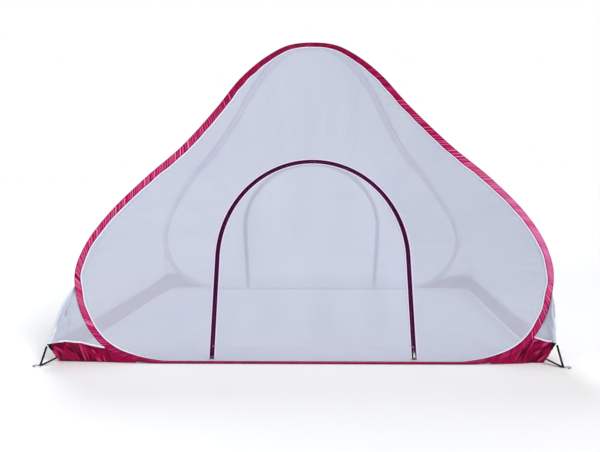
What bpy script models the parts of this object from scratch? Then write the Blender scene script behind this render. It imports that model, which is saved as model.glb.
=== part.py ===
"""Mosquito net tent: two sprung hoops in satin sleeves lean together at the apex, with net between them.

Metres, +Z up. The origin is on the ground under the apex, the front is -Y and the width runs along X.
The rear half is the front half turned half a turn about Z, so every front piece has its rear twin.
"""

import math

import bmesh
import bpy
import numpy as np
from mathutils import Matrix

# Overall size
apex_height = 1.457  # wire centre at the apex
half_width = 0.980  # wire centre at the widest bulge of a hoop
half_depth = 0.900  # wire centre of a hoop's straight base run

# Hoop, sleeve and piping
wire_radius = 0.0012
sleeve_width = 0.030
sleeve_wall = 0.0010
sleeve_slot_half = 0.0025  # half the room inside the folded satin
lip_slot_half = 0.0010  # half the slit that holds the edge of the net
net_tuck = 0.0030  # how far the net reaches into the slit
piping_width = 0.0070
piping_thickness = 0.0012
ferrule_radius = 0.0019
ferrule_bore = 0.0015
ferrule_length = 0.050
wire_end_gap = 0.0020
apex_seam_radius = 0.0030
apex_seam_length = 0.060

# Net
net_thickness = 0.0012

# Clearances
seat_gap = 0.0003
cloth_gap = 0.0004
seam_gap = 0.0009  # between loosely sewn cloths

# Door, measured in its leaning plane
door_half_width = 0.420  # between the middle of the zip and the middle of the tent
door_leg_length = 0.455
door_arch_rise = 0.470
door_lean = math.radians(26.6)
hinge_height = 0.056  # bottom edge of the flap
bend_margin = 0.003  # net kept straight beside the piping
sill_margin = 0.005  # level net between the piping and the foot of the door plane
sill_foot = 0.002  # the net lies in the door plane from here up
sill_band = 0.015  # net kept flat under the flap
surround = 0.020  # net kept flat round the zip
zip_gap_half = 0.0016
tape_width = 0.0080
tape_thickness = 0.0012
chain_width = 0.0026
chain_height = 0.0013
binding_width = 0.0070
net_overlap = 0.0021  # how far the tape laps over the net
tape_foot_gap = 0.006  # bottom ends of the tapes on the flap above the hinge
stub_gap = 0.002  # top ends of the end boxes below the hinge

slot_depth = 0.006  # reach of the slot's cut to each side of the net

# End boxes at the feet of a zip
box_foot = 0.004
box_height = 0.014

# Slider, with its length along the zip
slider_rest = 0.021  # bottom end of the slider above the door plane's foot
slider_length = 0.019
slider_half_width = 0.0064
slider_tail_half_width = 0.0042
slider_plate = 0.0015
slider_inside_half_width = 0.0058
post_half_width = 0.0011
post_length = 0.0060
bridge_half_length = 0.0046
bridge_height = 0.0034
bridge_bar = 0.0011
bridge_half_width = 0.0009
pull_length = 0.0190
pull_half_width = 0.0034
pull_arm = 0.0016
pull_thickness = 0.0012
pull_inset = 0.0060  # from the pivot to the near edge of the solid tab
slider_edge_bevel = 0.0003

# End bands of satin
band_height = 0.083
band_thickness = 0.0012
band_foot = 0.0035  # bottom edge above the ground
band_fold = 0.0065  # how far a fold stands out
least_apart = 0.004  # points of a net nearer than this pull no harder
ridge_height = 0.340  # a ridge of net runs from the base corner up to the hoop at this height
wrap_height = 0.330  # below this the end net works round to the outside of the sleeve
wrap_bulge = 0.0012
corner_outset = 0.067  # base corners beyond the widest bulge
corner_forward = 0.015  # base corners before the straight base run
corner_inset = 0.036  # how far the bottom edge is drawn in
corner_pull = 0.035  # front left and rear right are pulled this much further out, the others this much less
side_sag = 0.016  # how far the middle of an end is drawn in

# Corner elastics and hooks
elastic_width = 0.0100
elastic_thickness = 0.0014
elastic_reach = 0.032
elastic_side = 0.034
elastic_foot = 0.0042
elastic_low_height = 0.0200
hook_wire_radius = 0.0015
hook_reach = 0.030

# Half outline of a hoop, from its base run to its apex: shares of the half width, the rise and the lean
hoop_outline_shares = (
    (0.000, 0.000, 0.000),
    (0.357, 0.000, 0.000),
    (0.633, 0.000, 0.000),
    (0.776, 0.012, 0.003),
    (0.878, 0.047, 0.014),
    (0.954, 0.107, 0.038),
    (0.995, 0.182, 0.054),
    (1.000, 0.258, 0.056),
    (0.960, 0.334, 0.066),
    (0.886, 0.416, 0.125),
    (0.764, 0.517, 0.268),
    (0.619, 0.614, 0.397),
    (0.465, 0.746, 0.588),
    (0.350, 0.860, 0.755),
    (0.232, 0.942, 0.893),
    (0.122, 0.988, 0.973),
)
hoop_sway = 0.020  # how far both flanks of a hoop stand to the right of their mirror line
sway_height = 0.770  # where they stand furthest to the right
sway_reach = 0.460  # above and below that height
sway_hold_share = 0.85  # of an end net's way out to a hoop: beyond it the net keeps to the hoop
twist_start_share = 0.600  # of the half width: here the flat base run starts to stand up
twist_end_share = 0.880
band_start_share = 0.735  # of the half width: here the satin band starts under the hoop
end_net_top_share = 0.060  # of the half width: here the end nets start beside the apex
ridge_power = 1.7  # how steeply that ridge starts
bend_weight_share = 0.45  # how strongly the stations crowd into the bends
twist_weight_share = 0.25  # and into the stretch where the sleeve twists

corner_run_shares = (0.16, 0.42, 0.70, 1.00)  # of the way from the hoop to the base corner

# Route of a corner hook: shares of half the width of its bar, and of the hook's reach
hook_route_shares = (
    (-1.0, 0.00), (1.0, 0.00), (1.0, 0.20), (0.5, 0.34), (-0.5, 0.40), (-1.3, 0.56),
    (-1.4, 0.78), (-0.8, 0.96), (0.1, 1.00), (0.8, 0.86),
)

half_stations = 30
spline_steps = 24
arch_steps = 18
net_rings = 7
end_net_columns = 12
corner_column = 2  # the column of the end net that stands on the base corner
band_rows = 3
side_columns = 24
fold_count = 7
turn_steps = 4
round_sides = 12
smooth_angle = math.radians(40)

# Worked out from the sizes above
sleeve_half = sleeve_slot_half + sleeve_wall
lip_half = lip_slot_half + sleeve_wall
wire_rise = apex_height - sleeve_half
apex_offset = apex_seam_radius + seat_gap + sleeve_half
hoop_lean = half_depth - apex_offset
corner_x = half_width + corner_outset
corner_y = half_depth + corner_forward
corner_fold = band_thickness / math.sqrt(2)  # how far the band's fold at a base corner stands out
lip_taper = sleeve_width / 3
piping_near = sleeve_width + cloth_gap
piping_far = piping_near + piping_width
tape_edge = zip_gap_half + tape_width
net_edge = tape_edge - net_overlap
binding_edge = tape_edge + seat_gap
tape_back = net_thickness / 2 + seat_gap
tape_front = tape_back + tape_thickness
chain_front = tape_front + chain_height
plate_front = chain_front + seat_gap + slider_plate
plate_back = tape_back - seat_gap - slider_plate
door_foot_y = -half_depth + piping_far + sill_margin
door_foot_z = sleeve_half
door_turn = math.pi / 2 - door_lean
slider_middle = slider_rest + slider_length / 2

# Finishes: linear colour, roughness and metal
finishes = {
    "satin": ((0.45, 0.010, 0.075, 1.0), 0.38, 0.0),
    "net": ((0.66, 0.71, 0.82, 1.0), 0.80, 0.0),
    "piping": ((0.86, 0.82, 0.88, 1.0), 0.70, 0.0),
    "zip tape": ((0.060, 0.004, 0.050, 1.0), 0.65, 0.0),
    "spring steel": ((0.42, 0.43, 0.45, 1.0), 0.35, 1.0),
    "black enamel": ((0.012, 0.012, 0.014, 1.0), 0.40, 0.0),
    "nickel": ((0.72, 0.71, 0.70, 1.0), 0.28, 1.0),
    "black elastic": ((0.015, 0.015, 0.017, 1.0), 0.85, 0.0),
}


def clear_scene():
    """Remove every object and collection that the file starts with."""
    for thing in list(bpy.data.objects):
        bpy.data.objects.remove(thing, do_unlink=True)
    for group in list(bpy.data.collections):
        bpy.data.collections.remove(group)


def new_collection(name):
    """A collection of the scene."""
    group = bpy.data.collections.new(name)
    bpy.context.scene.collection.children.link(group)
    return group


def make_finishes():
    """One material for each finish."""
    made = {}
    for name, (colour, roughness, metal) in finishes.items():
        material = bpy.data.materials.new(name)
        material.use_nodes = True
        shader = material.node_tree.nodes["Principled BSDF"]
        shader.inputs["Base Color"].default_value = colour
        shader.inputs["Roughness"].default_value = roughness
        shader.inputs["Metallic"].default_value = metal
        material.diffuse_color = colour
        made[name] = material
    return made


def mesh_from(name, points, faces):
    """A mesh with its faces pointing out where it is closed."""
    shape = bmesh.new()
    corners = [shape.verts.new(point) for point in points]
    for face in faces:
        shape.faces.new([corners[i] for i in face])
    bmesh.ops.recalc_face_normals(shape, faces=shape.faces)
    if shape.calc_volume(signed=True) < 0:
        bmesh.ops.reverse_faces(shape, faces=shape.faces)
    return mesh_of(name, shape)


def mesh_of(name, shape):
    """A finished mesh from its builder."""
    mesh = bpy.data.meshes.new(name)
    shape.to_mesh(mesh)
    shape.free()
    return mesh


def smooth(mesh):
    """Shade a mesh smooth, with its sharp edges kept."""
    mesh.shade_smooth()
    mesh.set_sharp_from_angle(angle=smooth_angle)


def closed_spline(points, steps):
    """Centripetal Catmull-Rom curve through a closed ring of points."""
    count = len(points)
    found = []
    for i in range(count):
        p0, p1, p2, p3 = (points[(i + k) % count] for k in (-1, 0, 1, 2))
        t1 = math.sqrt(np.linalg.norm(p1 - p0))
        t2 = t1 + math.sqrt(np.linalg.norm(p2 - p1))
        t3 = t2 + math.sqrt(np.linalg.norm(p3 - p2))
        for step in range(steps):
            t = t1 + (t2 - t1) * step / steps
            a1 = p0 * (t1 - t) / t1 + p1 * t / t1
            a2 = p1 * (t2 - t) / (t2 - t1) + p2 * (t - t1) / (t2 - t1)
            a3 = p2 * (t3 - t) / (t3 - t2) + p3 * (t - t2) / (t3 - t2)
            b1 = a1 * (t2 - t) / t2 + a2 * t / t2
            b2 = a2 * (t3 - t) / (t3 - t1) + a3 * (t - t1) / (t3 - t1)
            found.append(b1 * (t2 - t) / (t2 - t1) + b2 * (t - t1) / (t2 - t1))
    return np.array(found)


def smoothstep(value):
    """0 below 0, 1 above 1 and smooth between."""
    value = min(max(value, 0.0), 1.0)
    return value * value * (3 - 2 * value)


def unit(vector):
    """The vector at length 1."""
    return vector / np.linalg.norm(vector)


def door_point(across, up, out):
    """A point of the leaning door plane in the world: across it, up its slope and out of its front."""
    return np.array((
        across,
        door_foot_y + up * math.sin(door_lean) - out * math.cos(door_lean),
        door_foot_z + up * math.cos(door_lean) + out * math.sin(door_lean),
    ))


def door_frame():
    """Turns a thing drawn in the door plane into the world."""
    return Matrix.Translation(door_point(0.0, 0.0, 0.0)) @ Matrix.Rotation(door_turn, 4, "X")


def door_ray(angle, offset, bottom):
    """Where a ray from the middle of the arch meets the door outline, moved out by an offset."""
    wide = door_half_width + offset
    high = door_arch_rise + offset
    if angle >= 0:
        reach = 1 / math.hypot(math.cos(angle) / wide, math.sin(angle) / high)
        return reach * math.cos(angle), door_leg_length + reach * math.sin(angle)
    up = door_leg_length + wide * math.tan(angle) * math.copysign(1, math.cos(angle))
    if up >= bottom:
        return math.copysign(wide, math.cos(angle)), up
    reach = (bottom - door_leg_length) / math.sin(angle)
    return reach * math.cos(angle), bottom


def swayed(place, share):
    """A place moved to the right as the hoop's flanks are at its height, by a share of that."""
    lift = min(abs(place[2] - sway_height) / sway_reach, 1.0)
    return np.array((place[0] + hoop_sway * share * (1 - lift * lift) ** 2, place[1], place[2]))


def swayed_mesh(data):
    """A mesh that keeps to the hoop, moved with its flanks."""
    for vertex in data.vertices:
        vertex.co = swayed(vertex.co, 1.0)
    return data


class Hoop:
    """Stations round the front hoop: centre, tangent, inward along the net, and outward to the front."""

    def __init__(self):
        half = [self.outline_point(*row) for row in hoop_outline_shares]
        apex = self.outline_point(0.0, 1.0, 1.0)
        ring = half + [apex] + [point * (-1, 1, 1) for point in reversed(half[1:])]
        self.curve = closed_spline(np.array(ring), spline_steps)
        self.curve[:, 2] = np.maximum(self.curve[:, 2], sleeve_half)
        self.curve[:, 1] = np.maximum(self.curve[:, 1], -half_depth)
        self.centres = self.pick_stations()
        self.count = len(self.centres)
        self.frame_stations()

    @staticmethod
    def outline_point(across, up, lean):
        """A control point from its shares."""
        return np.array((
            across * half_width,
            -half_depth + lean * hoop_lean,
            sleeve_half + up * wire_rise,
        ))

    def pick_stations(self):
        """Stations of the right half, closer together in the bends, and their mirror images."""
        half_count = len(hoop_outline_shares) * spline_steps
        half = self.curve[: half_count + 1]
        runs = np.diff(half, axis=0)
        lengths = np.linalg.norm(runs, axis=1)
        turns = np.arccos(np.clip(
            np.sum(runs[1:] * runs[:-1], axis=1) / (lengths[1:] * lengths[:-1]), -1, 1,
        ))
        weights = lengths / lengths.sum()
        weights[1:] += bend_weight_share * turns / turns.sum()
        shares = half[1:, 0] / half_width
        twisting = (shares > twist_start_share) & (shares < twist_end_share) & (half[1:, 2] < band_height)
        weights += twist_weight_share * twisting * lengths / lengths[twisting].sum()
        travelled = np.concatenate(((0.0,), np.cumsum(weights)))
        marks = np.linspace(0, travelled[-1], half_stations + 1)
        right = np.stack([np.interp(marks, travelled, half[:, axis]) for axis in range(3)], axis=1)
        left = right[1:-1][::-1] * (-1, 1, 1)
        return np.concatenate((right, left))

    def frame_stations(self):
        """Give each station its directions; the base run lies flat and twists up into the panel."""
        self.tangents = np.array([
            unit(self.centres[(i + 1) % self.count] - self.centres[i - 1]) for i in range(self.count)
        ])
        rises = (self.centres[:, 2] - door_foot_z) / math.cos(door_lean) - door_leg_length
        self.angles = np.arctan2(rises, self.centres[:, 0])
        corner = math.atan2(hinge_height - door_leg_length, door_half_width + net_edge)
        right = range(half_stations + 1)
        self.corner = min(right, key=lambda i: abs(self.angles[i] - corner))
        inward, outward = [], []
        for i, centre in enumerate(self.centres):
            across, up = door_ray(self.angles[i], net_edge, hinge_height)
            aim = door_point(across, up, 0.0) - centre
            tangent = self.tangents[i]
            panel = unit(aim - tangent * aim.dot(tangent))
            stand = (abs(centre[0]) / half_width - twist_start_share) / (twist_end_share - twist_start_share)
            if centre[2] - sleeve_half > band_height:
                stand = 1.0
            stand = smoothstep(stand)
            mixed = panel * stand + np.array((0.0, 1.0, 0.0)) * (1 - stand)
            inward.append(unit(mixed - tangent * mixed.dot(tangent)))
            outward.append(unit(np.cross(tangent, inward[-1])))
        self.inward = np.array(inward)
        self.outward = np.array(outward)

    def at(self, i, along, out):
        """A point of the section at a station: along the net from the wire, and out to the front."""
        return self.centres[i] + along * self.inward[i] + out * self.outward[i]


def split(a, b, c, d, mirrored):
    """The two triangles of a four-sided face, cut along one diagonal or along its mirror image."""
    if mirrored:
        return [(a, b, d), (b, c, d)]
    return [(a, b, c), (a, c, d)]


def sweep(name, stations, section, closed):
    """A section swept along stations, its first half split as the mirror image of its second."""
    points = []
    for centre, along, out in stations:
        points += [centre + a * along + b * out for a, b in section]
    sides, count = len(section), len(stations)
    faces = []
    for i in range(count if closed else count - 1):
        here, there = i * sides, (i + 1) % count * sides
        for j in range(sides):
            k = (j + 1) % sides
            faces += split(here + j, here + k, there + k, there + j, i < count / 2)
    if not closed:
        faces.append(tuple(range(sides)))
        faces.append(tuple((count - 1) * sides + j for j in range(sides)))
    return mesh_from(name, points, faces)


def sleeve_section():
    """The folded satin: closed round the wire at one side, open in a slit at the net."""
    flat = sleeve_width - lip_taper
    outer, inner = sleeve_half, sleeve_slot_half
    outer_turn, inner_turn = outer / 2, inner / 2
    return (
        (0.0, outer), (-outer, outer_turn), (-outer, -outer_turn), (0.0, -outer), (flat, -outer),
        (sleeve_width, -lip_half), (sleeve_width, -lip_slot_half), (flat, -inner), (0.0, -inner),
        (-inner, -inner_turn), (-inner, inner_turn), (0.0, inner), (flat, inner),
        (sleeve_width, lip_slot_half), (sleeve_width, lip_half), (flat, outer),
    )


def make_wire(hoop, name):
    """The spring-steel ring, open at the middle of its base run."""
    half_gap = wire_end_gap / 2
    route = [hoop.centres[0] + (half_gap, 0, 0)]
    route += [swayed(hoop.centres[i], 1.0) for i in range(1, hoop.count)]
    route += [hoop.centres[0] - (half_gap, 0, 0)]
    return tube(name, route, wire_radius)


def make_ferrule(hoop, name):
    """A crimped tube with a bore that takes both ends of the wire."""
    half = ferrule_length / 2
    ring = [
        (ferrule_bore, -half), (ferrule_bore, half), (ferrule_radius, half), (ferrule_radius, -half),
    ]
    points, faces = [], []
    for i in range(round_sides):
        turn = 2 * math.pi * i / round_sides
        for radius, along in ring:
            points.append(hoop.centres[0] + (along, radius * math.cos(turn), radius * math.sin(turn)))
    for i in range(round_sides):
        here, there = i * len(ring), (i + 1) % round_sides * len(ring)
        for j in range(len(ring)):
            k = (j + 1) % len(ring)
            faces.append((here + j, here + k, there + k, there + j))
    return mesh_from(name, points, faces)


def hoop_stations(hoop):
    """Every station as the sweep takes it."""
    return [(hoop.centres[i], hoop.inward[i], hoop.outward[i]) for i in range(hoop.count)]


def piping_section():
    """The white piping on the net's front face, beside the slit of the sleeve."""
    back = net_thickness / 2 + cloth_gap
    front = back + piping_thickness
    return ((piping_near, back), (piping_far, back), (piping_far, front), (piping_near, front))


def relax(points, free, neighbours, even):
    """Move the free points until their neighbours' pulls balance, as in taut cloth; near ones pull more
    where the spacing isn't even."""
    index = {point: row for row, point in enumerate(free)}
    pull = np.zeros((len(free), len(free)))
    goal = np.zeros((len(free), 3))
    for point, row in index.items():
        for other in neighbours[point]:
            apart = points[other] - points[point]
            weight = 1.0 if even else 1 / max(apart.dot(apart), least_apart ** 2)
            pull[row, row] += weight
            if other in index:
                pull[row, index[other]] -= weight
            else:
                goal[row] += weight * points[other]
    for point, place in zip(free, np.linalg.solve(pull, goal)):
        points[point] = place


def make_panel(hoop, name):
    """The net of a hoop with its door hole: rings of points from the slit to the zip."""
    last = net_rings - 1
    points = {}
    low = hinge_height - sill_band
    for i in range(hoop.count):
        for ring, along in enumerate((sleeve_width - net_tuck, piping_near, piping_far + bend_margin)):
            points[ring, i] = swayed(hoop.at(i, along, 0.0), 1.0)
        points[last - 1, i] = door_point(*door_ray(hoop.angles[i], surround, low), 0.0)
        mirrored = hoop.count - i
        if hoop.corner in (i, mirrored):
            side = math.copysign(door_half_width + net_edge, hoop.centres[i][0])
            points[last, i] = door_point(side, hinge_height, 0.0)
            flat_side = math.copysign(door_half_width + surround, side)
            points[last - 1, i] = door_point(flat_side, low, 0.0)
        else:
            points[last, i] = door_point(*door_ray(hoop.angles[i], net_edge, hinge_height), 0.0)
    free, neighbours = [], {}
    for ring in range(3, last - 1):
        for i in range(hoop.count):
            flat = min(i, hoop.count - i) <= hoop.corner
            if flat:
                share = (ring - 2) / (last - 3)
                across = points[2, i][0] * (1 - share) + points[last - 1, i][0] * share
                share = (ring - 3) / (last - 4)
                points[ring, i] = door_point(across, sill_foot * (1 - share) + low * share, 0.0)
            else:
                free.append((ring, i))
                points[ring, i] = points[2, i]
            neighbours[ring, i] = (
                (ring - 1, i), (ring + 1, i), (ring, (i + 1) % hoop.count), (ring, (i - 1) % hoop.count),
            )
    relax(points, free, neighbours, True)
    places = [points[ring, i] for ring in range(net_rings) for i in range(hoop.count)]
    faces = []
    for ring in range(last):
        for i in range(hoop.count):
            k = (i + 1) % hoop.count
            a, b = ring * hoop.count + i, ring * hoop.count + k
            c, d = b + hoop.count, a + hoop.count
            faces += split(a, d, c, b, i < hoop.count / 2)
    return mesh_from(name, places, faces)


def thicken(piece, thickness):
    """Give a cloth its thickness, half to each side."""
    shell = piece.modifiers.new("Cloth thickness", "SOLIDIFY")
    shell.thickness = thickness
    shell.offset = 0.0
    shell.use_even_offset = False
    shell.use_rim = True


def arch_stations(bottom):
    """Stations up one leg of the zip, round the arch and down the other, in the door's own plane."""
    legs = ((door_half_width, 1.0), (-door_half_width, -1.0))
    stations = [(np.array((legs[0][0], bottom, 0.0)), np.array((1.0, 0.0, 0.0)))]
    for step in range(arch_steps + 1):
        turn = math.pi * step / arch_steps
        place = np.array((
            door_half_width * math.cos(turn), door_leg_length + door_arch_rise * math.sin(turn), 0.0,
        ))
        normal = unit(np.array((
            door_arch_rise * math.cos(turn), door_half_width * math.sin(turn), 0.0,
        )))
        stations.append((place, normal))
    stations.append((np.array((legs[1][0], bottom, 0.0)), np.array((-1.0, 0.0, 0.0))))
    out = np.array((0.0, 0.0, 1.0))
    return [(place, normal, out) for place, normal in stations]


def tape_section(side):
    """Half of the zip, with its coil chain along the inner edge: side 1 is on the panel, -1 on the door."""
    return (
        (side * zip_gap_half, tape_back), (side * tape_edge, tape_back), (side * tape_edge, tape_front),
        (side * (zip_gap_half + chain_width), tape_front),
        (side * (zip_gap_half + chain_width), chain_front), (side * zip_gap_half, chain_front),
    )


def binding_section(side):
    """The white binding beside a tape."""
    near, far = side * binding_edge, side * (binding_edge + binding_width)
    return ((near, tape_back), (far, tape_back), (far, tape_front), (near, tape_front))


def flat_outline(name, outline, thickness):
    """A flat closed outline with an even thickness about its plane."""
    curve = bpy.data.curves.new(name, "CURVE")
    curve.dimensions = "2D"
    curve.fill_mode = "BOTH"
    curve.extrude = thickness / 2
    spline = curve.splines.new("POLY")
    spline.points.add(len(outline) - 1)
    spline.use_cyclic_u = True
    for point, (x, y) in zip(spline.points, outline):
        point.co = (x, y, 0.0, 1.0)
    return curve


def flap_outline():
    """The net of the door, just inside the tape that is sewn to it."""
    bottom = hinge_height + seat_gap
    side = door_half_width - net_edge
    outline = [(side, bottom)]
    for place, normal, _ in arch_stations(bottom)[1:-1]:
        outline.append(tuple((place - normal * net_edge)[:2]))
    return outline + [(-side, bottom)]


def end_box_outline(side):
    """A zip end box across both tapes, with the inner tape's stub above it. Side is the sign of its leg."""
    top = box_foot + box_height
    stub = hinge_height - stub_gap
    middle = side * door_half_width
    inner, outer = middle - side * tape_edge, middle + side * tape_edge
    edge = middle - side * zip_gap_half
    return [(inner, box_foot), (outer, box_foot), (outer, top), (edge, top), (edge, stub), (inner, stub)]


def solid_box(low, high):
    """A box between two corners, as a mesh builder."""
    shape = bmesh.new()
    middle = [(a + b) / 2 for a, b in zip(low, high)]
    size = [b - a for a, b in zip(low, high)]
    grow = Matrix.Diagonal((*size, 1.0))
    bmesh.ops.create_cube(shape, size=1.0, matrix=Matrix.Translation(middle) @ grow)
    return shape


def prism(outline, low, high, plane):
    """An outline between two depths; plane says which axes it is drawn in."""
    shape = bmesh.new()
    def place(point, depth):
        spot = [0.0, 0.0, 0.0]
        spot[plane[0]], spot[plane[1]] = point
        spot[3 - plane[0] - plane[1]] = depth
        return spot
    near = [shape.verts.new(place(point, low)) for point in outline]
    far = [shape.verts.new(place(point, high)) for point in outline]
    shape.faces.new(near)
    shape.faces.new(far)
    for i in range(len(outline)):
        k = (i + 1) % len(outline)
        shape.faces.new((near[i], near[k], far[k], far[i]))
    bmesh.ops.recalc_face_normals(shape, faces=shape.faces)
    return shape


def slot_shape():
    """The slot under the flap's hinge line in which the slider rests."""
    foot, head = box_foot + box_height, hinge_height + slot_depth
    return solid_box(
        (door_half_width - net_edge, foot, -slot_depth),
        (door_half_width + net_edge, head, slot_depth),
    )


def joined(name, shapes, helpers):
    """Solids united into one body."""
    made = []
    for number, shape in enumerate(shapes):
        block = bpy.data.objects.new(f"{name}_{number}", mesh_of(f"{name}_{number}", shape))
        block.hide_render = True
        block.display_type = "WIRE"
        helpers.objects.link(block)
        made.append(block)
    first = made[0]
    for number, other in enumerate(made[1:]):
        union = first.modifiers.new(f"Join {number}", "BOOLEAN")
        union.operation = "UNION"
        union.object = other
    bpy.context.view_layer.update()
    seen = first.evaluated_get(bpy.context.evaluated_depsgraph_get())
    mesh = bpy.data.meshes.new_from_object(seen)
    mesh.name = name
    for block in made:
        bpy.data.objects.remove(block, do_unlink=True)
    return mesh


def bridge_outline(base, sign):
    """The arched bridge that holds a pull tab, from the side: up the slope and out of the plate."""
    inner, outer = bridge_half_length - bridge_bar, bridge_half_length
    shoulder = bridge_height - bridge_bar
    sink = slider_plate / 2
    def spot(along, height):
        return along, base + sign * height
    return [
        spot(-outer, -sink), spot(-outer, shoulder), spot(-inner, bridge_height),
        spot(inner, bridge_height), spot(outer, shoulder), spot(outer, -sink),
        spot(inner, -sink), spot(inner, shoulder), spot(-inner, shoulder), spot(-inner, -sink),
    ]


def slider_shapes():
    """The slider about its middle: front and back plates, the post between the tapes and two bridges."""
    half = slider_length / 2
    shoulder = half / 3
    def plate(wide, tail, low, high):
        outline = [
            (-tail, -half), (tail, -half), (wide, -shoulder), (wide, shoulder),
            (tail, half), (-tail, half), (-wide, shoulder), (-wide, -shoulder),
        ]
        return prism(outline, low, high, (0, 1))
    front_low = plate_front - slider_plate
    back_high = plate_back + slider_plate
    overlap = slider_plate / 2
    post = solid_box(
        (-post_half_width, half - post_length, back_high - overlap),
        (post_half_width, half - seat_gap, front_low + overlap),
    )
    return [
        plate(slider_half_width, slider_tail_half_width, front_low, plate_front),
        plate(slider_inside_half_width, slider_tail_half_width, plate_back, back_high),
        post,
        prism(bridge_outline(plate_front, 1), -bridge_half_width, bridge_half_width, (1, 2)),
        prism(bridge_outline(plate_back, -1), -bridge_half_width, bridge_half_width, (1, 2)),
    ]


def pull_outline():
    """A pull tab hanging from its pivot: a loop for the bridge above a solid tab."""
    arm = bridge_half_width + cloth_gap
    outer = arm + pull_arm
    bar = pull_thickness / 2
    shoulder = (pull_inset + pull_length) / 3
    outside = [
        (-outer, bar), (outer, bar), (outer, -pull_inset), (pull_half_width, -shoulder),
        (pull_half_width, -pull_length + pull_half_width), (outer, -pull_length),
        (-outer, -pull_length), (-pull_half_width, -pull_length + pull_half_width),
        (-pull_half_width, -shoulder), (-outer, -pull_inset),
    ]
    hole = [(-arm, -bar), (arm, -bar), (arm, -pull_inset), (-arm, -pull_inset)]
    return outside, hole


def make_pull(name):
    """A pull tab with its loop, drawn about its pivot."""
    outside, hole = pull_outline()
    curve = flat_outline(name, outside, pull_thickness)
    inner = curve.splines.new("POLY")
    inner.points.add(len(hole) - 1)
    inner.use_cyclic_u = True
    for point, (x, y) in zip(inner.points, hole):
        point.co = (x, y, 0.0, 1.0)
    return curve


def tube(name, route, radius):
    """A round bar along an open route."""
    curve = bpy.data.curves.new(name, "CURVE")
    curve.dimensions = "3D"
    spline = curve.splines.new("POLY")
    spline.points.add(len(route) - 1)
    for point, place in zip(spline.points, route):
        point.co = (*place, 1.0)
    curve.bevel_depth = radius
    curve.bevel_resolution = 1
    curve.use_fill_caps = True
    return curve


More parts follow.
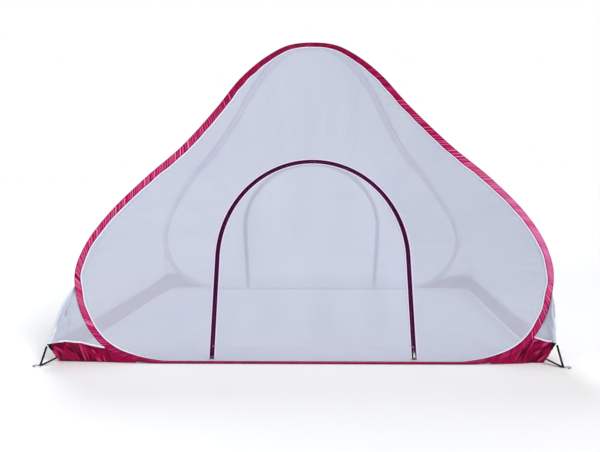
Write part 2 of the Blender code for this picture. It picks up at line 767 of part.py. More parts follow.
class EndBand:
    """The right end: the route of the band's top edge, and the end net's border above it."""

    def __init__(self, hoop):
        self.hoop = hoop
        self.offset = sleeve_half + seam_gap
        self.under = [
            i for i in range(half_stations + 1)
            if hoop.centres[i][0] >= band_start_share * half_width
            and hoop.at(i, -self.offset, 0.0)[2] <= band_height
            and hoop.centres[i][2] < apex_height / 2
        ]
        self.junction = self.under[-1]
        self.tops = [hoop.at(i, -self.offset, 0.0) for i in self.under]
        self.bottoms = [
            np.array((top[0], top[1], min(band_foot, top[2] - 2 * seam_gap))) for top in self.tops
        ]
        self.first_free = len(self.tops)
        self.corner = self.first_free + len(corner_run_shares) - 1
        self.round_corner()
        self.mirror_rear()
        self.foot = self.net_foot()
        self.pull_corners()
        high = min(range(half_stations // 2), key=lambda i: abs(hoop.centres[i][2] - ridge_height))
        self.ridge_top = self.border(high)

    def round_corner(self):
        """From the hoop to the corner, and along the end to its middle."""
        start = self.tops[-1]
        corner = np.array((corner_x, -corner_y, band_height))
        for share in corner_run_shares:
            top = start * (1 - share) + corner * share
            inset = corner_inset * share
            self.tops.append(top)
            self.bottoms.append(np.array((top[0] - inset, top[1] + inset, band_foot)))
        for step in range(1, side_columns // 2 + 1):
            share = step / (side_columns // 2)
            x = corner_x - side_sag * (1 - (1 - share) ** 2)
            inset = corner_inset * (1 - smoothstep(2 * share) / 2)
            self.tops.append(np.array((x, -corner_y * (1 - share), band_height)))
            foot_y = -(corner_y - corner_inset) * (1 - share)
            self.bottoms.append(np.array((x - inset, foot_y, band_foot)))

    def mirror_rear(self):
        """The rear half of the route."""
        flip = np.array((1, -1, 1))
        self.tops += [point * flip for point in reversed(self.tops[:-1])]
        self.bottoms += [point * flip for point in reversed(self.bottoms[:-1])]
        self.count = len(self.tops)

    def pull_corners(self):
        """Pull the rear corner out and let the front one in, with what lies between in proportion."""
        last = len(corner_run_shares) - 1
        for i, edges in enumerate(zip(self.tops, self.bottoms)):
            run = min(i, self.count - 1 - i) - self.first_free
            if run >= 0:
                shift = corner_pull * corner_run_shares[min(run, last)] * edges[0][1] / corner_y
                for edge in edges:
                    edge[0] += shift

    def outward(self, i):
        """The level direction out of the band at a column."""
        before, after = self.tops[max(i - 1, 0)], self.tops[min(i + 1, self.count - 1)]
        run = unit((after - before) * (1, 1, 0))
        return np.array((run[1], -run[0], 0.0))

    def make_band(self, name):
        """The satin band, straight along its top edge and folded below it."""
        points, faces = [], []
        rows = band_rows + 1
        for i in range(self.count):
            out = self.outward(i)
            phase = 2 * math.pi * fold_count * i / (self.count - 1)
            folded = self.corner + 1 < i < self.count - self.corner - 2
            for row in range(rows):
                share = row / band_rows
                place = self.tops[i] * (1 - share) + self.bottoms[i] * share
                wave = band_fold * math.sin(phase + row) * math.sin(math.pi * share * 2 / 3)
                points.append(place + out * (wave if folded else 0.0))
        for i in range(self.count - 1):
            for row in range(band_rows):
                a = i * rows + row
                faces += split(a, a + 1, a + rows + 1, a + rows, i < self.count / 2 - 1)
        return mesh_from(name, points, faces)

    def make_piping(self, name):
        """White piping along the top edge, on the outside of the net."""
        low, high = seam_gap, seam_gap + piping_width
        near = net_thickness / 2 + seam_gap
        far = near + piping_thickness
        section = ((low, near), (high, near), (high, far), (low, far))
        up = np.array((0.0, 0.0, 1.0))
        stations = [
            (self.tops[i], up, self.outward(i))
            for i in range(self.first_free, self.count - self.first_free)
        ]
        return sweep(name, stations, section, False)

    def net_foot(self):
        """The bottom border of the end net, just above the band, from the front hoop to the rear one."""
        tangent = self.hoop.tangents[self.junction]
        middle = (self.count - 1) // 2
        columns = end_net_columns // 2 - 2
        picks = [self.corner - 1, self.corner]
        picks += [self.corner + round((middle - self.corner) * k / columns) for k in range(1, columns + 1)]
        lift = np.array((0.0, 0.0, 2 * seam_gap))
        foot = [self.tops[self.first_free - 1] + tangent * 2 * seam_gap]
        foot += [self.tops[i] + lift for i in picks]
        flip = np.array((1, -1, 1))
        return foot + [point * flip for point in reversed(foot[:-1])]

    def border(self, i):
        """Where the end net meets the sleeve: behind its fold, and lower down round it to the outside."""
        height = self.hoop.centres[i][2]
        wrap = smoothstep((wrap_height - height) / (wrap_height - band_height))
        radius = self.offset + wrap_bulge * math.sin(math.pi * wrap)
        turn = math.pi / 2 * wrap
        return self.hoop.at(i, -radius * math.sin(turn), -radius * math.cos(turn))

    def make_net(self, name):
        """The end net: taut from the front sleeve to the rear one, and down to the band."""
        hoop = self.hoop
        rows = [
            i for i in range(self.junction, half_stations)
            if hoop.centres[i][0] >= end_net_top_share * half_width
        ][::-1]
        flip = np.array((1, -1, 1))
        border = [self.border(i) for i in rows]
        foot = self.foot
        width, height = len(foot), len(rows)
        steps = [np.linalg.norm(foot[k + 1] - foot[k]) for k in range(width - 1)]
        shares = np.concatenate(((0.0,), np.cumsum(steps) / sum(steps)))
        points, held = {}, set()
        base = foot[corner_column]
        for row in range(height):
            for column in range(width):
                share = shares[column]
                points[row, column] = border[row] * (1 - share) + border[row] * flip * share
            lift = (border[row][2] - base[2]) / (ridge_height - base[2])
            if row and 0 < lift < 1:
                share = lift ** ridge_power
                ridge = base * (1 - share) + self.ridge_top * share
                ridge[2] = border[row][2]
                beside = (border[row] + ridge) / 2
                span = 1 - 2 * shares[corner_column]
                for column in range(corner_column, width - corner_column):
                    share = (shares[column] - shares[corner_column]) / span
                    points[row, column] = ridge * (1 - share) + ridge * flip * share
                for column, place in ((1, beside), (corner_column, ridge)):
                    points[row, column] = place
                    points[row, width - 1 - column] = place * flip
                    held |= {(row, column), (row, width - 1 - column)}
        for column in range(width):
            points[height - 1, column] = foot[column]
        free = [
            (row, column) for row in range(1, height - 1) for column in range(1, width - 1)
            if (row, column) not in held
        ]
        neighbours = {
            (row, column): ((row - 1, column), (row + 1, column), (row, column - 1), (row, column + 1))
            for row, column in free
        }
        relax(points, free, neighbours, False)
        pulls = (0.0, corner_run_shares[-2], 1.0)
        for (row, column), place in points.items():
            lift = (border[row][2] - base[2]) / (ridge_height - base[2])
            pull = corner_pull * pulls[min(column, width - 1 - column, corner_column)]
            pull *= (1 - min(max(lift, 0.0), 1.0)) ** ridge_power
            place = place + np.array((pull * place[1] / corner_y, 0.0, 0.0))
            share = place[1] / (border[row][1] * sway_hold_share)
            points[row, column] = swayed(place, min(max(share, -1.0), 1.0))
        places = [points[row, column] for row in range(height) for column in range(width)]
        faces = []
        for row in range(height - 1):
            for column in range(width - 1):
                a = row * width + column
                faces += split(a, a + 1, a + width + 1, a + width, column < width / 2 - 1)
        return mesh_from(name, places, faces)


class Elastic:
    """One corner elastic and its hook, drawn at the right front corner; the rear one as in a mirror."""

    def __init__(self, band, rear):
        column = band.count - 1 - band.corner if rear else band.corner
        flip = np.array((1, -1 if rear else 1, 1))
        self.away = unit(np.array((elastic_reach, -elastic_side, 0.0)))
        self.across = np.array((self.away[1], -self.away[0], 0.0))
        self.turn_radius = hook_wire_radius + seat_gap + elastic_thickness / 2
        top, foot = band.tops[column] * flip, band.bottoms[column] * flip
        stand_off = self.away * (corner_fold + seat_gap + elastic_thickness / 2)
        self.start = top + stand_off - np.array((0.0, 0.0, elastic_width / 2))
        share = (band_height - elastic_low_height) / (band_height - band_foot)
        self.end = top * (1 - share) + foot * share + stand_off
        level = np.array((top[0], top[1], elastic_foot))
        self.bar = level + self.away * (elastic_reach - self.turn_radius)

    def make_strip(self, name):
        """The flat elastic as a loop that turns round the bar of its hook."""
        up = np.array((0.0, 0.0, 1.0))
        route = [self.start]
        for step in range(turn_steps + 1):
            turn = math.pi / 2 - math.pi * step / turn_steps
            arm = self.away * math.cos(turn) + up * math.sin(turn)
            route.append(self.bar + arm * self.turn_radius)
        route.append(self.end)
        stations = []
        for i, place in enumerate(route):
            before, after = route[max(i - 1, 0)], route[min(i + 1, len(route) - 1)]
            stations.append((place, self.across, unit(np.cross(after - before, self.across))))
        half_w, half_t = elastic_width / 2, elastic_thickness / 2
        section = ((-half_w, -half_t), (half_w, -half_t), (half_w, half_t), (-half_w, half_t))
        return sweep(name, stations, section, False)

    def make_hook(self, name):
        """An open wire hook whose bar the elastic turns round."""
        side = elastic_width / 2 + 2 * seat_gap + hook_wire_radius
        route = [
            self.bar + self.across * side * across + self.away * hook_reach * along
            for across, along in hook_route_shares
        ]
        return tube(name, route, hook_wire_radius)


class Tent:
    """Places every piece: a moving piece hangs on an empty that lies on its joint's axis."""

    def __init__(self):
        clear_scene()
        self.group = new_collection("mosquito_net_tent")
        self.helpers = new_collection("cutters")
        self.materials = make_finishes()
        self.worlds = {}
        self.hoop = Hoop()
        self.band = EndBand(self.hoop)
        self.elastics = {"right": Elastic(self.band, False), "left": Elastic(self.band, True)}

    def hang(self, thing, parent, world):
        """Link a thing and give it its place in the world under its parent."""
        self.group.objects.link(thing)
        local = world
        if parent is not None:
            thing.parent = parent
            local = self.worlds[parent.name].inverted() @ world
        thing.matrix_basis = local
        self.worlds[thing.name] = world

    def empty(self, name, parent, world):
        """An empty that carries other pieces."""
        carrier = bpy.data.objects.new(name, None)
        carrier.empty_display_size = sleeve_width
        self.hang(carrier, parent, world)
        return carrier

    def piece(self, name, data, finish, parent, world, thickness=None):
        """One piece of the tent, given its thickness where it is cloth."""
        part = bpy.data.objects.new(name, data)
        if not data.materials:
            data.materials.append(self.materials[finish])
        self.hang(part, parent, world)
        if thickness is not None:
            thicken(part, thickness)
        return part

    def build(self):
        """Both halves, then what joins them."""
        still = Matrix.Identity(4)
        root = self.empty("tent", None, still)
        fold = Matrix.Translation((0.0, 0.0, apex_height)) @ Matrix.Rotation(math.pi, 4, "Z")
        turned = Matrix.Rotation(math.pi, 4, "Z")
        rear = self.empty("rear_half_on_its_fold", root, fold)
        shapes = self.shapes()
        for side, carrier, turn in (("front", root, still), ("rear", rear, turned)):
            self.place_hoop(side, carrier, turn, shapes)
            self.place_door(side, carrier, turn, shapes)
            self.place_corners(side, carrier, turn, shapes)
        for side, turn in (("right", still), ("left", turned)):
            self.piece(f"{side}_end_net", shapes["end net"], "net", root, turn, net_thickness)
            self.piece(f"{side}_end_band", shapes["end band"], "satin", root, turn, band_thickness)
            self.piece(f"{side}_band_piping", shapes["band piping"], "piping", root, turn)
        self.piece("apex_seam", self.make_seam(), "satin", root, still)

    def shapes(self):
        """Each distinct shape once; front and rear, or left and right, share it."""
        hoop, band = self.hoop, self.band
        ring = hoop_stations(hoop)
        flap_foot = hinge_height + tape_foot_gap
        panel_foot = box_foot + box_height + seat_gap
        made = {
            "wire": make_wire(hoop, "hoop wire"),
            "ferrule": make_ferrule(hoop, "hoop ferrule"),
            "sleeve": swayed_mesh(sweep("hoop sleeve", ring, sleeve_section(), True)),
            "piping": swayed_mesh(sweep("hoop piping", ring, piping_section(), True)),
            "panel": make_panel(hoop, "net panel"),
            "flap": flat_outline("door net", flap_outline(), net_thickness),
            "outer tape": sweep("outer zip tape", arch_stations(panel_foot), tape_section(1), False),
            "inner tape": sweep("inner zip tape", arch_stations(flap_foot), tape_section(-1), False),
            "outer binding": sweep("outer binding", arch_stations(box_foot), binding_section(1), False),
            "inner binding": sweep("inner binding", arch_stations(flap_foot), binding_section(-1), False),
            "right box": flat_outline("zip end box", end_box_outline(1), chain_front - tape_back),
            "left box": flat_outline("zip end box", end_box_outline(-1), chain_front - tape_back),
            "slot": mesh_of("slider slot", slot_shape()),
            "slider": joined("zip slider", slider_shapes(), self.helpers),
            "pull": make_pull("zip pull"),
            "right elastic": self.elastics["right"].make_strip("right corner elastic"),
            "right hook": self.elastics["right"].make_hook("right corner hook"),
            "left elastic": mirrored(self.elastics["left"].make_strip("left corner elastic")),
            "left hook": mirrored(self.elastics["left"].make_hook("left corner hook")),
            "end net": band.make_net("end net"),
            "end band": band.make_band("end band"),
            "band piping": band.make_piping("band piping"),
        }
        for name in ("sleeve", "piping", "panel", "end net", "end band"):
            smooth(made[name])
        return made

    def place_hoop(self, side, carrier, turn, shapes):
        """The wire ring, its ferrule, its sleeve, the piping and the net that the hoop stretches."""
        self.piece(f"{side}_hoop_wire", shapes["wire"], "spring steel", carrier, turn)
        self.piece(f"{side}_hoop_ferrule", shapes["ferrule"], "spring steel", carrier, turn)
        self.piece(f"{side}_hoop_sleeve", shapes["sleeve"], "satin", carrier, turn)
        self.piece(f"{side}_hoop_piping", shapes["piping"], "piping", carrier, turn)
        panel = self.piece(f"{side}_net_panel", shapes["panel"], "net", carrier, turn, net_thickness)
        slot = bpy.data.objects.new(f"{side}_slider_slot", shapes["slot"])
        slot.hide_render = True
        slot.display_type = "WIRE"
        slot.matrix_basis = turn @ door_frame()
        self.helpers.objects.link(slot)
        cut = panel.modifiers.new("Slot for the slider", "BOOLEAN")
        cut.operation = "DIFFERENCE"
        cut.object = slot

    def place_door(self, side, carrier, turn, shapes):
        """The zip on the panel, the door on its hinge line, and the slider with its pulls."""
        plane = turn @ door_frame()
        self.piece(f"{side}_zip_outer_tape", shapes["outer tape"], "zip tape", carrier, plane)
        self.piece(f"{side}_zip_outer_binding", shapes["outer binding"], "piping", carrier, plane)
        box_level = plane @ Matrix.Translation((0.0, 0.0, (tape_back + chain_front) / 2))
        for where, hand in (("slider_side", "right box"), ("far_side", "left box")):
            self.piece(f"{side}_zip_end_box_{where}", shapes[hand], "black enamel", carrier, box_level)
        hinge = plane @ Matrix.Translation((0.0, hinge_height, net_thickness / 2))
        door = self.empty(f"{side}_door_on_its_hinge", carrier, hinge)
        self.piece(f"{side}_door_net", shapes["flap"], "net", door, plane)
        self.piece(f"{side}_zip_inner_tape", shapes["inner tape"], "zip tape", door, plane)
        self.piece(f"{side}_zip_inner_binding", shapes["inner binding"], "piping", door, plane)
        rest = plane @ Matrix.Translation((door_half_width, slider_middle, 0.0))
        slider = self.empty(f"{side}_slider_on_its_zip", carrier, rest)
        self.piece(f"{side}_zip_slider", shapes["slider"], "black enamel", slider, rest)
        window = (bridge_height - bridge_bar) / 2
        outside = rest @ Matrix.Translation((0.0, 0.0, plate_front + window))
        inside = rest @ Matrix.Translation((0.0, 0.0, plate_back - window))
        inside = inside @ Matrix.Rotation(door_lean, 4, "X")
        for place, world in (("outside", outside), ("inside", inside)):
            pivot = self.empty(f"{side}_{place}_pull_on_its_bridge", slider, world)
            self.piece(f"{side}_pull_{place}", shapes["pull"], "nickel", pivot, world)

    def place_corners(self, side, carrier, turn, shapes):
        """The elastic and hook of each base corner."""
        for hand in ("right", "left"):
            for part, finish in (("elastic", "black elastic"), ("hook", "black enamel")):
                where = f"{side}_{hand}_corner_{part}"
                self.piece(where, shapes[f"{hand} {part}"], finish, carrier, turn)

    def make_seam(self):
        """The stitched seam that both sleeves meet at the apex, on the fold's axis."""
        shape = bmesh.new()
        along = Matrix.Rotation(math.pi / 2, 4, "Y")
        bmesh.ops.create_cone(
            shape, cap_ends=True, segments=round_sides, radius1=apex_seam_radius, radius2=apex_seam_radius,
            depth=apex_seam_length, matrix=Matrix.Translation((0.0, 0.0, apex_height)) @ along,
        )
        mesh = mesh_of("apex seam", shape)
        smooth(mesh)
        return mesh


def mirrored(data):
    """A mesh or a curve turned into its mirror image, with a mesh right side out again."""
    data.transform(Matrix.Scale(-1, 4, (1.0, 0.0, 0.0)))
    if isinstance(data, bpy.types.Mesh):
        data.flip_normals()
    return data


Tent().build()
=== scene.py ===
"""Mosquito net tent: the looks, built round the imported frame.

Metres, +Z up, in the frame's own axes: the origin is on the ground under the apex, and the front is -Y.
Every shape is made once for the front or the right, and the rear or left one is the same turned about Z.
"""

import logging
import math
from collections.abc import Iterator
from contextlib import contextmanager
from dataclasses import dataclass
from enum import Enum
from functools import cached_property

import bmesh
import bpy
import numpy as np
from mathutils import Matrix, Vector


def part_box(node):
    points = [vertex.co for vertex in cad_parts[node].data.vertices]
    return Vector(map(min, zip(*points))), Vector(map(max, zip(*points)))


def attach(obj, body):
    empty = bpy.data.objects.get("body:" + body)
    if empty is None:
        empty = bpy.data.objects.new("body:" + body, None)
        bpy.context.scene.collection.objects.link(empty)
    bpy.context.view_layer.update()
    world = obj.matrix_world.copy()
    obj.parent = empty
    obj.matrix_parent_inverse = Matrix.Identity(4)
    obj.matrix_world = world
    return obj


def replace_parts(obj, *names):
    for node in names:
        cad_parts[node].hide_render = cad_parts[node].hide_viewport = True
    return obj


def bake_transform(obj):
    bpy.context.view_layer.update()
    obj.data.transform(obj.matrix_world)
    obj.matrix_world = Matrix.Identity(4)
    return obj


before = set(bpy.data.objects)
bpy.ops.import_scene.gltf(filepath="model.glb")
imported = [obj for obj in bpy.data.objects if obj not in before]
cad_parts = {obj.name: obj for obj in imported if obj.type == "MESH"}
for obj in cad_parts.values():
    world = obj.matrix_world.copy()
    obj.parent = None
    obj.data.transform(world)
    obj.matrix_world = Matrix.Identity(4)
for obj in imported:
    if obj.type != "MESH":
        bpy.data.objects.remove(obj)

logging.basicConfig(level=logging.INFO, format="%(name)s: %(message)s")
log = logging.getLogger("net tent")

Points = np.ndarray
Mesh = bpy.types.Mesh
Piece = bpy.types.Object
Run = tuple[Points, Points]
Value = "Socket | float | tuple[float, ...]"
CLOTH_MAP = "Cloth"
# The Fold attribute: on satin it carries painted highlights on the crests and painted shade in the folds; on
# the end net it marks pleats.
FOLD = "Fold"
TAU = 2 * math.pi
FRONT_BODY = "front_hoop"
STEEP = 0.9  # the upward share of a direction that counts as steep
FLIP = np.array((1, -1, 1))  # from the front half to the rear one
ROUND_END = (0.15, 0.5, 0.87)  # how wide the rings of a bar's rounded end are
EVEN_FOLD = 0.5  # what a cloth without folds has for them


class Side(Enum):
    """The two halves of the tent."""

    FRONT = "front"
    REAR = "rear"

    @property
    def turn(self) -> Matrix:
        """The turn about Z that takes a front shape to this half."""
        return Matrix.Rotation(0.0 if self is Side.FRONT else math.pi, 4, "Z")

    @property
    def body(self) -> str:
        """The frame's body that carries this half's hoop."""
        return f"{self.value}_hoop"


class Hand(Enum):
    """The two ends of the tent, or the two corners of a half."""

    RIGHT = "right"
    LEFT = "left"

    @property
    def turn(self) -> Matrix:
        """The turn about Z that takes a right end to this one."""
        return Matrix.Rotation(0.0 if self is Hand.RIGHT else math.pi, 4, "Z")

    @property
    def mirror(self) -> Matrix:
        """The mirroring across the middle plane that takes a right corner to this one."""
        return Matrix.Scale(1.0 if self is Hand.RIGHT else -1.0, 4, (1.0, 0.0, 0.0))


# Numbers and curves


def smoothstep(value: Points | float) -> Points:
    """Rise smoothly from 0 at 0 to 1 at 1."""
    held = np.clip(value, 0.0, 1.0)
    return held * held * (3 - 2 * held)


def unit(vectors: Points) -> Points:
    """The same directions at length 1, for vectors along the last axis."""
    return vectors / np.linalg.norm(vectors, axis=-1, keepdims=True)


def dots(first: Points, second: Points) -> Points:
    """The dot products of vectors along the last axis, which becomes 1 long."""
    return np.sum(first * second, axis=-1, keepdims=True)


def travelled(line: Points) -> Points:
    """The distance along a line from its first point to each."""
    return np.concatenate(((0.0,), np.cumsum(np.linalg.norm(np.diff(line, axis=0), axis=1))))


def resampled(line: Points, marks: Points) -> Points:
    """A point of a line for each of the given distances along it."""
    way = travelled(line)
    return np.stack([np.interp(marks, way, line[:, axis]) for axis in range(line.shape[1])], axis=1)


def refined(values: Points, steps: int) -> Points:
    """Add points to rows of values with a Catmull-Rom curve.

    Args:
        values: Rows along the first axis.
        steps: Steps in each stretch between two rows.

    Returns:
        The finer rows, through all the given ones.
    """
    first, last = 2 * values[0] - values[1], 2 * values[-1] - values[-2]
    padded = np.concatenate((first[None], values, last[None]))
    found = []
    for step in range(steps):
        t = step / steps
        shares = (
            -t / 2 + t * t - t ** 3 / 2, 1 - 2.5 * t * t + 1.5 * t ** 3,
            t / 2 + 2 * t * t - 1.5 * t ** 3, -t * t / 2 + t ** 3 / 2,
        )
        found.append(sum(share * padded[k : k + len(values) - 1] for k, share in enumerate(shares)))
    rows = np.stack(found, axis=1).reshape(-1, *values.shape[1:])
    return np.concatenate((rows, values[-1:]))


def there_and_back(values: Points) -> Points:
    """A row of values followed by the same ones backwards, each end only once."""
    return np.concatenate((values, values[-2:0:-1]))


def girth(across: Points, out: Points) -> Points:
    """The distances round a closed section, with its whole length last."""
    return travelled(np.stack((np.append(across, across[0]), np.append(out, out[0])), axis=1))


@dataclass(frozen=True)
class Drift:
    """Smooth seeded variation along a loop or a line, mostly between -1 and 1."""

    seed: int
    length: float
    shortest: float
    longest: float
    terms: int = 6

    def at(self, where: Points) -> Points:
        """Read the variation.

        Args:
            where: Distances along the loop.

        Returns:
            The variation there, the same again after each full length.
        """
        source = np.random.default_rng(self.seed)
        low = max(1, round(self.length / self.longest))
        high = max(low + 1, round(self.length / self.shortest))
        total = np.zeros_like(where)
        for turns in source.integers(low, high + 1, self.terms):
            total = total + np.sin(TAU * turns * where / self.length + source.uniform(0, TAU))
        return total / math.sqrt(self.terms / 2) * 0.7


@dataclass(frozen=True)
class Crumple:
    """Seeded folds over a cloth: sharp ridges that run in scattered directions."""

    seed: int
    wavelength: float
    spread: float
    terms: int = 5
    sharp: float = 1.0

    def at(self, along: Points, across: Points) -> Points:
        """Read the folds.

        Args:
            along: Distances along the cloth.
            across: Distances across it.

        Returns:
            Heights between about -1 and 1.
        """
        source = np.random.default_rng(self.seed)
        total = np.zeros(np.broadcast(along, across).shape)
        for _ in range(self.terms):
            lean = source.normal(0.0, self.spread)
            wave = TAU / (self.wavelength * source.uniform(0.6, 1.5))
            phase = source.uniform(0, TAU)
            swing = np.sin(wave * (along * math.cos(lean) + across * math.sin(lean)) + phase)
            total = total + (1 - 2 * np.abs(swing)) * self.sharp + swing * (1 - self.sharp)
        return total / math.sqrt(self.terms)


@dataclass(frozen=True)
class Creases:
    """Straight creases strewn over a strip of cloth: each a narrow valley with a fuller shoulder."""

    seed: int
    length: float
    height: float
    pitch: float = 0.017
    shortest: float = 0.018
    longest: float = 0.060
    narrowest: float = 0.0032
    widest: float = 0.0070
    slant: float = math.radians(40.0)
    spread: float = math.radians(34.0)

    def at(self, along: Points, down: Points) -> Run:
        """How the creases move the cloth.

        Args:
            along: Distances along the strip.
            down: Distances from its top edge.

        Returns:
            The depth of the valleys, and the height of their shoulders, both from 0 to about 1.
        """
        rng = np.random.default_rng(self.seed)
        count = round(self.length / self.pitch)
        valleys, shoulders = np.zeros(along.shape), np.zeros(along.shape)
        for k in range(count):
            spot = (k + rng.uniform(0.1, 0.9)) * self.pitch, rng.uniform(0.0, 1.0) * self.height
            lean = rng.normal(self.slant * (2 * spot[0] / self.length - 1), self.spread)
            reach = rng.uniform(self.shortest, self.longest)
            width, strength = rng.uniform(self.narrowest, self.widest), rng.uniform(0.45, 1.0)
            side = rng.choice((-1.0, 1.0))
            off, drop = along - spot[0], down - spot[1]
            across = (off * math.cos(lean) - drop * math.sin(lean)) * side / width
            way = (off * math.sin(lean) + drop * math.cos(lean)) / reach
            fade = np.clip(1 - way * way, 0, 1) ** 2 * strength
            valleys = np.maximum(valleys, fade * np.exp(-across * across))
            shoulders = np.maximum(shoulders, fade * np.exp(-((across - 2.0) / 1.3) ** 2))
        return valleys, shoulders


# Meshes


@contextmanager
def editing(mesh: Mesh) -> Iterator[bmesh.types.BMesh]:
    """Open a mesh for editing, and write it back afterwards.

    Args:
        mesh: The mesh.

    Returns:
        Its editable form, for a with statement.
    """
    shape = bmesh.new()
    shape.from_mesh(mesh)
    yield shape
    shape.to_mesh(mesh)
    shape.free()


def woven_mesh(
    name: str, grid: Points, along: Points, across: Points, closed: tuple[bool, bool] = (False, False),
    fold: Points | None = None,
) -> Mesh:
    """Make a smooth mesh from a grid of points, with a map of real distances for its weave.

    Args:
        name: The mesh's name.
        grid: Points in rows and columns.
        along: The map's distance of each row, with one more where the rows close to a loop; or one
            distance for each corner of the grid.
        across: The same for the columns.
        closed: Whether the rows, and whether the columns, close to a loop.
        fold: How far each point stands on the crest of a fold, from 0 to 1; on satin it also carries the
            painted highlights and painted shade.

    Returns:
        The mesh.
    """
    rows, columns = grid.shape[:2]
    row, column = np.meshgrid(
        np.arange(rows if closed[0] else rows - 1), np.arange(columns if closed[1] else columns - 1),
        indexing="ij",
    )
    next_row, next_column = (row + 1) % rows, (column + 1) % columns
    corners = np.stack(
        (row * columns + column, row * columns + next_column,
         next_row * columns + next_column, next_row * columns + column), axis=-1,
    ).reshape(-1, 4)
    mesh = bpy.data.meshes.new(name)
    mesh.from_pydata(grid.reshape(-1, 3).tolist(), [], corners.tolist())
    if along.ndim == 1:
        along, across = np.meshgrid(along, across, indexing="ij")
    spots = ((row, column), (row, column + 1), (row + 1, column + 1), (row + 1, column))
    places = np.stack([np.stack((along[spot], across[spot]), axis=-1) for spot in spots], axis=-2)
    layer = mesh.uv_layers.new(name=CLOTH_MAP)
    layer.uv.foreach_set("vector", places.reshape(-1).astype(np.float32))
    crest = np.full((rows, columns), EVEN_FOLD) if fold is None else np.broadcast_to(fold, (rows, columns))
    mesh.attributes.new(FOLD, "FLOAT", "POINT").data.foreach_set("value", crest.reshape(-1).astype(np.float32))
    mesh.shade_smooth()
    return mesh


def rolled_mesh(name: str, grid: Points, along: Points, across: Points) -> Mesh:
    """Make a closed mesh from rings of points, with both ends filled and everything facing outwards.

    Args:
        name: The mesh's name.
        grid: A row of points for each ring.
        along: The map's distance of each ring.
        across: The map's distance of each point of a ring, with one more where the ring closes.

    Returns:
        The mesh.
    """
    mesh = woven_mesh(name, grid, along, across, (False, True))
    with editing(mesh) as shape:
        bmesh.ops.holes_fill(shape, edges=[edge for edge in shape.edges if edge.is_boundary], sides=0)
        bmesh.ops.recalc_face_normals(shape, faces=shape.faces)
        for face in shape.faces:
            face.smooth = True
    return mesh


def wire_mesh(name: str, route: Points, radius: float, sides: int = 12) -> Mesh:
    """Make a round bar with rounded ends along a route.

    Args:
        name: The mesh's name.
        route: The points of its centre line.
        radius: Half its thickness.
        sides: Faces round it.

    Returns:
        A closed mesh.
    """
    ahead = unit(np.gradient(route, axis=0))
    steep = abs(ahead[0][2]) >= STEEP
    side = unit(np.cross(ahead, (0.0, 1.0, 0.0) if steep else (0.0, 0.0, 1.0)))
    up = np.cross(side, ahead)
    turns = np.linspace(0, TAU, sides, endpoint=False)
    ends = np.array(ROUND_END)
    shares = np.concatenate((ends, np.ones(len(route)), ends[::-1]))
    push = radius * (1 - np.sqrt(1 - ends ** 2))
    pick = np.concatenate(([0] * len(ends), np.arange(len(route)), [len(route) - 1] * len(ends)))
    slide = np.concatenate((push - radius, np.zeros(len(route)), (radius - push)[::-1]))
    middle = route[pick] + ahead[pick] * slide[:, None]
    ring = np.cos(turns)[None, :, None] * side[pick][:, None] + np.sin(turns)[None, :, None] * up[pick][:, None]
    grid = middle[:, None] + ring * radius * shares[:, None, None]
    return rolled_mesh(name, grid, travelled(middle), np.linspace(0, TAU * radius, sides + 1))


# Shader nodes


@dataclass
class Socket:
    """A node's output, on which Python's operators add Math nodes."""

    graph: "Graph"
    output: bpy.types.NodeSocket

    def calculate(self, operation: str, first: Value, second: Value) -> "Socket":
        """Add a Math node for two values."""
        return self.graph.node("ShaderNodeMath", {"operation": operation}, {0: first, 1: second})

    def __add__(self, other: Value) -> "Socket":
        """Add."""
        return self.calculate("ADD", self, other)

    def __radd__(self, other: Value) -> "Socket":
        """Add, with the value first."""
        return self.calculate("ADD", other, self)

    def __sub__(self, other: Value) -> "Socket":
        """Subtract."""
        return self.calculate("SUBTRACT", self, other)

    def __rsub__(self, other: Value) -> "Socket":
        """Subtract this from a value."""
        return self.calculate("SUBTRACT", other, self)

    def __mul__(self, other: Value) -> "Socket":
        """Multiply."""
        return self.calculate("MULTIPLY", self, other)

    def __rmul__(self, other: Value) -> "Socket":
        """Multiply, with the value first."""
        return self.calculate("MULTIPLY", other, self)

    def __abs__(self) -> "Socket":
        """Drop the sign."""
        return self.calculate("ABSOLUTE", self, 0.0)


